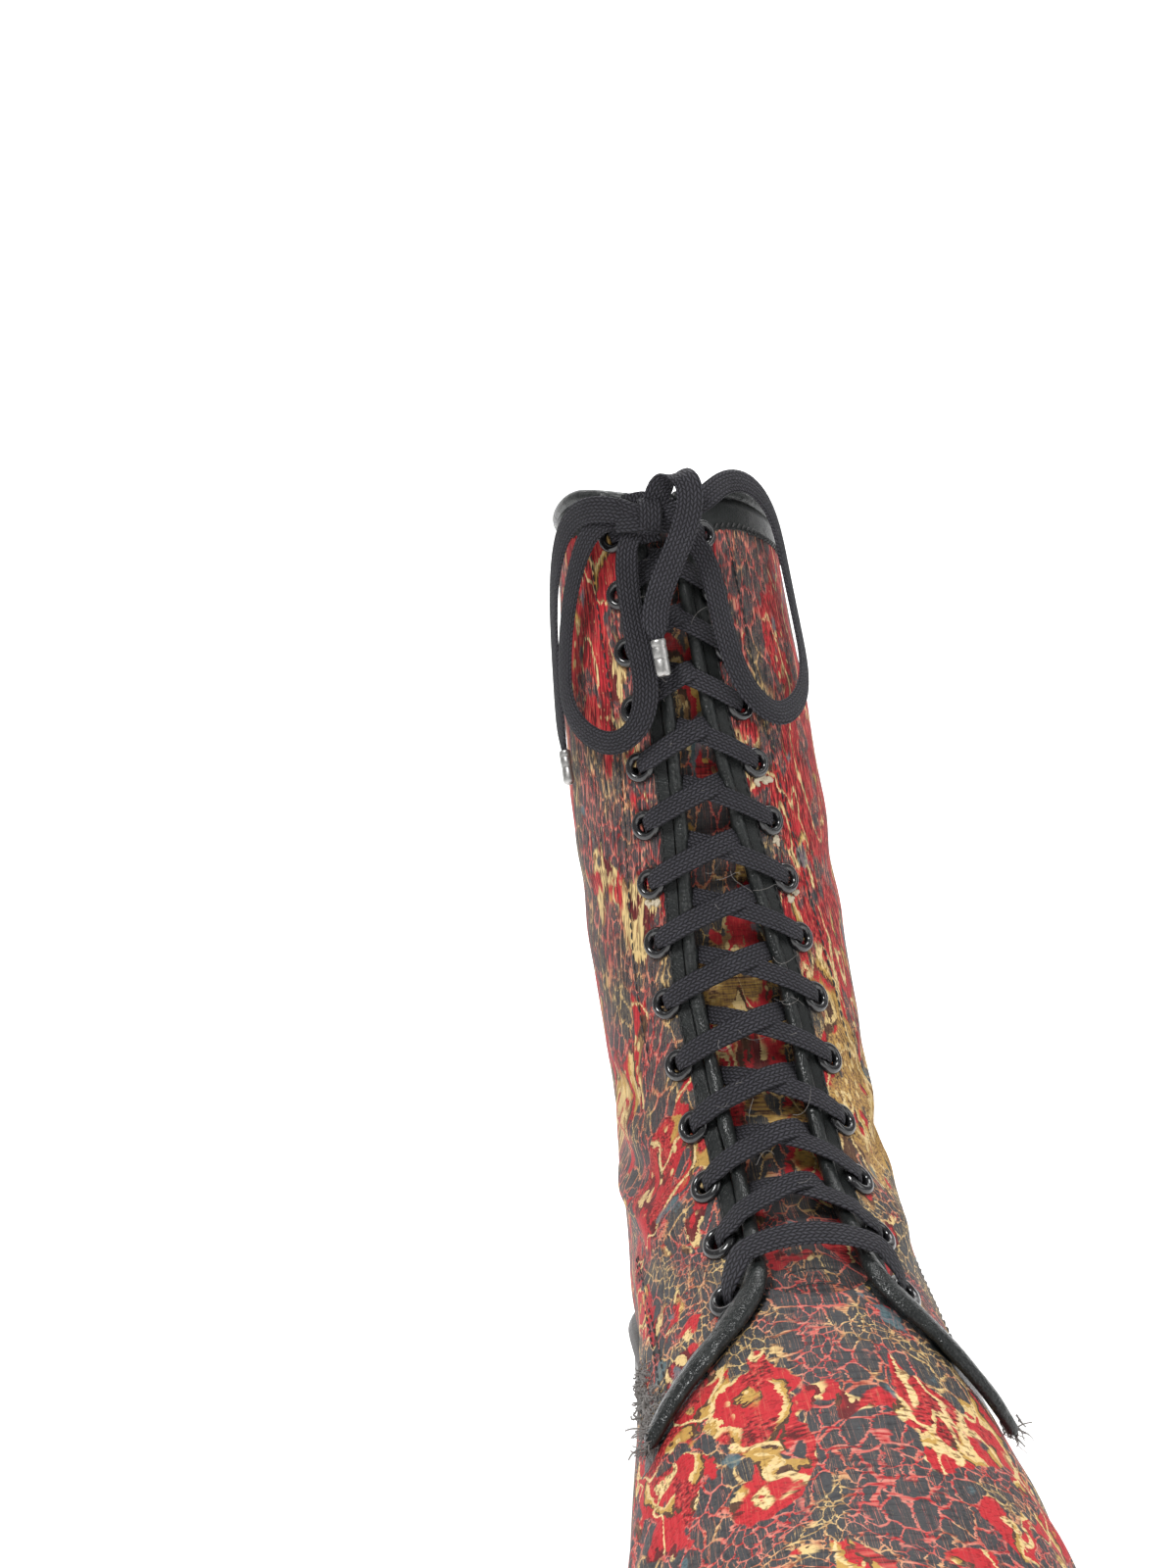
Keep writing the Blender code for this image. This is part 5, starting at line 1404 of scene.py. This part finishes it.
seams = Heap()
for side in (-1, 1):
    # whip stitches along the collar binding
    a = np.linspace(0.02, 0.985, 160)
    u, z = collar_line(side, a)
    p, n = on_side(u, z - 8.2, side, 0.15)
    stitch_row(seams, p, n, 2.6, 2.3, 0.34, 0.75 * side)
    p, n = on_side(u, z - 9.6, side, 0.12)
    stitch_row(seams, p, n, 2.6, 1.5, 0.24, -0.2 * side)
    # stitches of the strip beside the throat
    s = np.linspace(12, ROW_S[-1] - 6, 220)
    p, n = on_front(s, side * (throat_edge(s) + 3.4), 0.12)
    stitch_row(seams, p, n, 2.7, 1.9, 0.24)
    # seam outside the eyelets
    s = np.linspace(14, ROW_S[9], 180)
    wide = np.array([spread(float(k)) for k in row_at(s)]) + 7.0 + 0.8 * np.sin(s * 0.05)
    p, n = on_front(s, side * wide, 0.10)
    stitch_row(seams, p, n, 3.0, 2.3, 0.26)
    # counter arc low on the quarter
    t = np.linspace(0, 1, 80)
    u = 126 + 58 * t
    z = 87 - 14 * t**0.8
    p, n = on_side(u, z, side, 0.12)
    stitch_row(seams, p, n, 2.8, 2.0, 0.26)
    p, n = on_side(u - 2.6, z - 1.4, side, 0.12)
    stitch_row(seams, p, n, 2.8, 2.0, 0.26)
# across the vamp's top
for ds, reach in ((2.0, 8.0), (-2.4, 6.5)):
    h = np.linspace(-reach, reach, 40)
    p, n = on_front(ROW_S[-1] + ds + 0.02 * h**2, h, 0.1 if ds > 0 else 0.1)
    stitch_row(seams, p, n, 2.5, 2.0, 0.26)
seams.make("seam_stitches", THREAD, "trim")

# a back strip's two seams
back_seam = Heap()
z = np.linspace(46, COLLAR_Z - 11, 260)
for side in (-1, 1):
    p, n = on_side(back_u(z) + 0.95, z, side, 0.12)
    stitch_row(back_seam, p, n, 3.0, 2.2, 0.26)
back_seam.make("back_stitches", THREAD, "trim")

# ----------------------------------------------------------- fray, worn spots
fray = Heap()


def fibre(p, way, length, r, curl):
    k = np.linspace(0, 1, 9)
    side = np.cross(way, rng.normal(size=3))
    side /= np.linalg.norm(side)
    up_ = np.cross(way, side)
    line = p + np.outer(k * length, way) + np.outer(np.sin(k * 3.1 * curl) * length * 0.22, side) \
        + np.outer((1 - np.cos(k * 2.4 * curl)) * length * 0.2, up_)
    return hose(line, r * (1 - 0.4 * k), 5)


for side in (-1, 1):
    end, before = PIPE_RUN[side][-1], PIPE_RUN[side][-6]
    way = (end - before) / np.linalg.norm(end - before)
    for _ in range(46 if side < 0 else 26):
        d = way + rng.normal(0, 0.45, 3)
        fray.put(*fibre(end - way * rng.uniform(0, 3.0) + rng.normal(0, 1.0, 3), d / np.linalg.norm(d), rng.uniform(1.5, 4.2), rng.uniform(0.10, 0.26), rng.uniform(0.5, 1.5)))
# worn lower edge of the medial quarter, behind the piping
for _ in range(430):
    u = rng.uniform(154, 189)
    z = 67.5 + 0.04 * (u - 170) + rng.normal(0, 2.4)
    p, n = on_side(u, z, -1, 0.1)
    d = n * rng.uniform(0.1, 0.6) + rng.normal(0, 0.7, 3)
    fray.put(*fibre(p, d / np.linalg.norm(d), rng.uniform(0.8, 2.2), rng.uniform(0.14, 0.34), rng.uniform(0.6, 2.2)))
fray.make("frayed_edges", FUZZ, "upper")

wisps = Heap()
for _ in range(26):
    row = rng.uniform(1, 13)
    s = float(np.interp(row, np.arange(1, ROWS + 1), ROW_S))
    p, n = on_front(s, rng.uniform(-12, 12), rng.uniform(4.6, 5.4))
    d = rng.normal(0, 1, 3) + n * 0.4
    wisps.put(*fibre(p, d / np.linalg.norm(d), rng.uniform(5, 12), 0.07, rng.uniform(0.8, 1.8)))
wisps.make("loose_threads", FUZZ, "lace")

spots = Heap()
for side, row, size in ((1, 1, 2.0), (1, 5, 2.4), (1, 6, 2.0), (1, 7, 2.0), (-1, 7, 2.1)):
    p, n = on_front(ROW_S[row - 1] + 5.2, side * (spread(row) + 1.2), 0.15)
    a = np.cross(n, (0, 0, 1.0))
    a /= np.linalg.norm(a)
    b = np.cross(n, a)
    for _ in range(5):
        c = p + a * rng.normal(0, size * 0.5) + b * rng.normal(0, size * 0.3)
        r = size * rng.uniform(0.3, 0.55)
        sec = []
        th = np.linspace(0, 2 * np.pi, 12, endpoint=False)
        wob = 1 + 0.25 * np.sin(th * 2 + rng.uniform(0, 6)) + 0.15 * np.sin(th * 3 + rng.uniform(0, 6))
        for hgt, k in ((-0.3, 1.0), (0.1, 1.05), (0.35, 0.75), (0.5, 0.35)):
            sec.append(c + n * hgt + (r * k * wob)[:, None] * (np.cos(th)[:, None] * a + np.sin(th)[:, None] * b))
        spots.put(*rings(np.array(sec)))
spots.make("worn_spots", GLUE, "upper")

# ----------------------------------------------------------------- stage, light
t = Tree("stage_white")
stage_mat = t.done(t.mix(t.noise(t.here(), 0.004, 2.0), (0.90, 0.90, 0.90), (0.92, 0.92, 0.92)), 0.6,
                   Emission_Color=(1.0, 1.0, 1.0, 1.0), Emission_Strength=0.28)
sp, sf = [], []
prof = [(-1.6, 0.0), (0.9, 0.0), (1.15, 0.02), (1.36, 0.09), (1.52, 0.22), (1.62, 0.42), (1.66, 0.7), (1.66, 2.6)]
for y, z in prof:
    sp += [(-3.0, y, z), (3.0, y, z)]
for k in range(len(prof) - 1):
    sf.append((2 * k, 2 * k + 1, 2 * k + 3, 2 * k + 2))
sm = bpy.data.meshes.new("stage")
sm.from_pydata(sp, [], sf)
sm.materials.append(stage_mat)
sm.shade_smooth()
stage = bpy.data.objects.new("stage", sm)
bpy.context.scene.collection.objects.link(stage)

world_bg = bpy.data.worlds.new("studio")
world_bg.use_nodes = True
bg = world_bg.node_tree.nodes["Background"]
bg.inputs["Color"].default_value = (1.0, 1.0, 1.0, 1)
bg.inputs["Strength"].default_value = 0.32
bpy.context.scene.world = world_bg


def area(name, place, aim, size, power):
    d = bpy.data.lights.new(name, "AREA")
    d.shape, d.size, d.energy = "SQUARE", size, power
    o = bpy.data.objects.new(name, d)
    bpy.context.scene.collection.objects.link(o)
    o.location = place
    o.rotation_mode = "QUATERNION"
    o.rotation_quaternion = (Vector(aim) - Vector(place)).to_track_quat("-Z", "Y")
    return o


area("key", (-0.60, -0.85, 1.15), (0, 0, 0.15), 0.42, 15.5)
area("fill", (1.0, -0.75, 0.65), (0, 0, 0.15), 0.8, 4.0)
area("top", (0.15, 0.2, 1.3), (0, 0, 0.1), 0.6, 8.0)
area("back_wall", (0.0, 0.75, 1.5), (0, 1.66, 0.75), 1.4, 24.0)
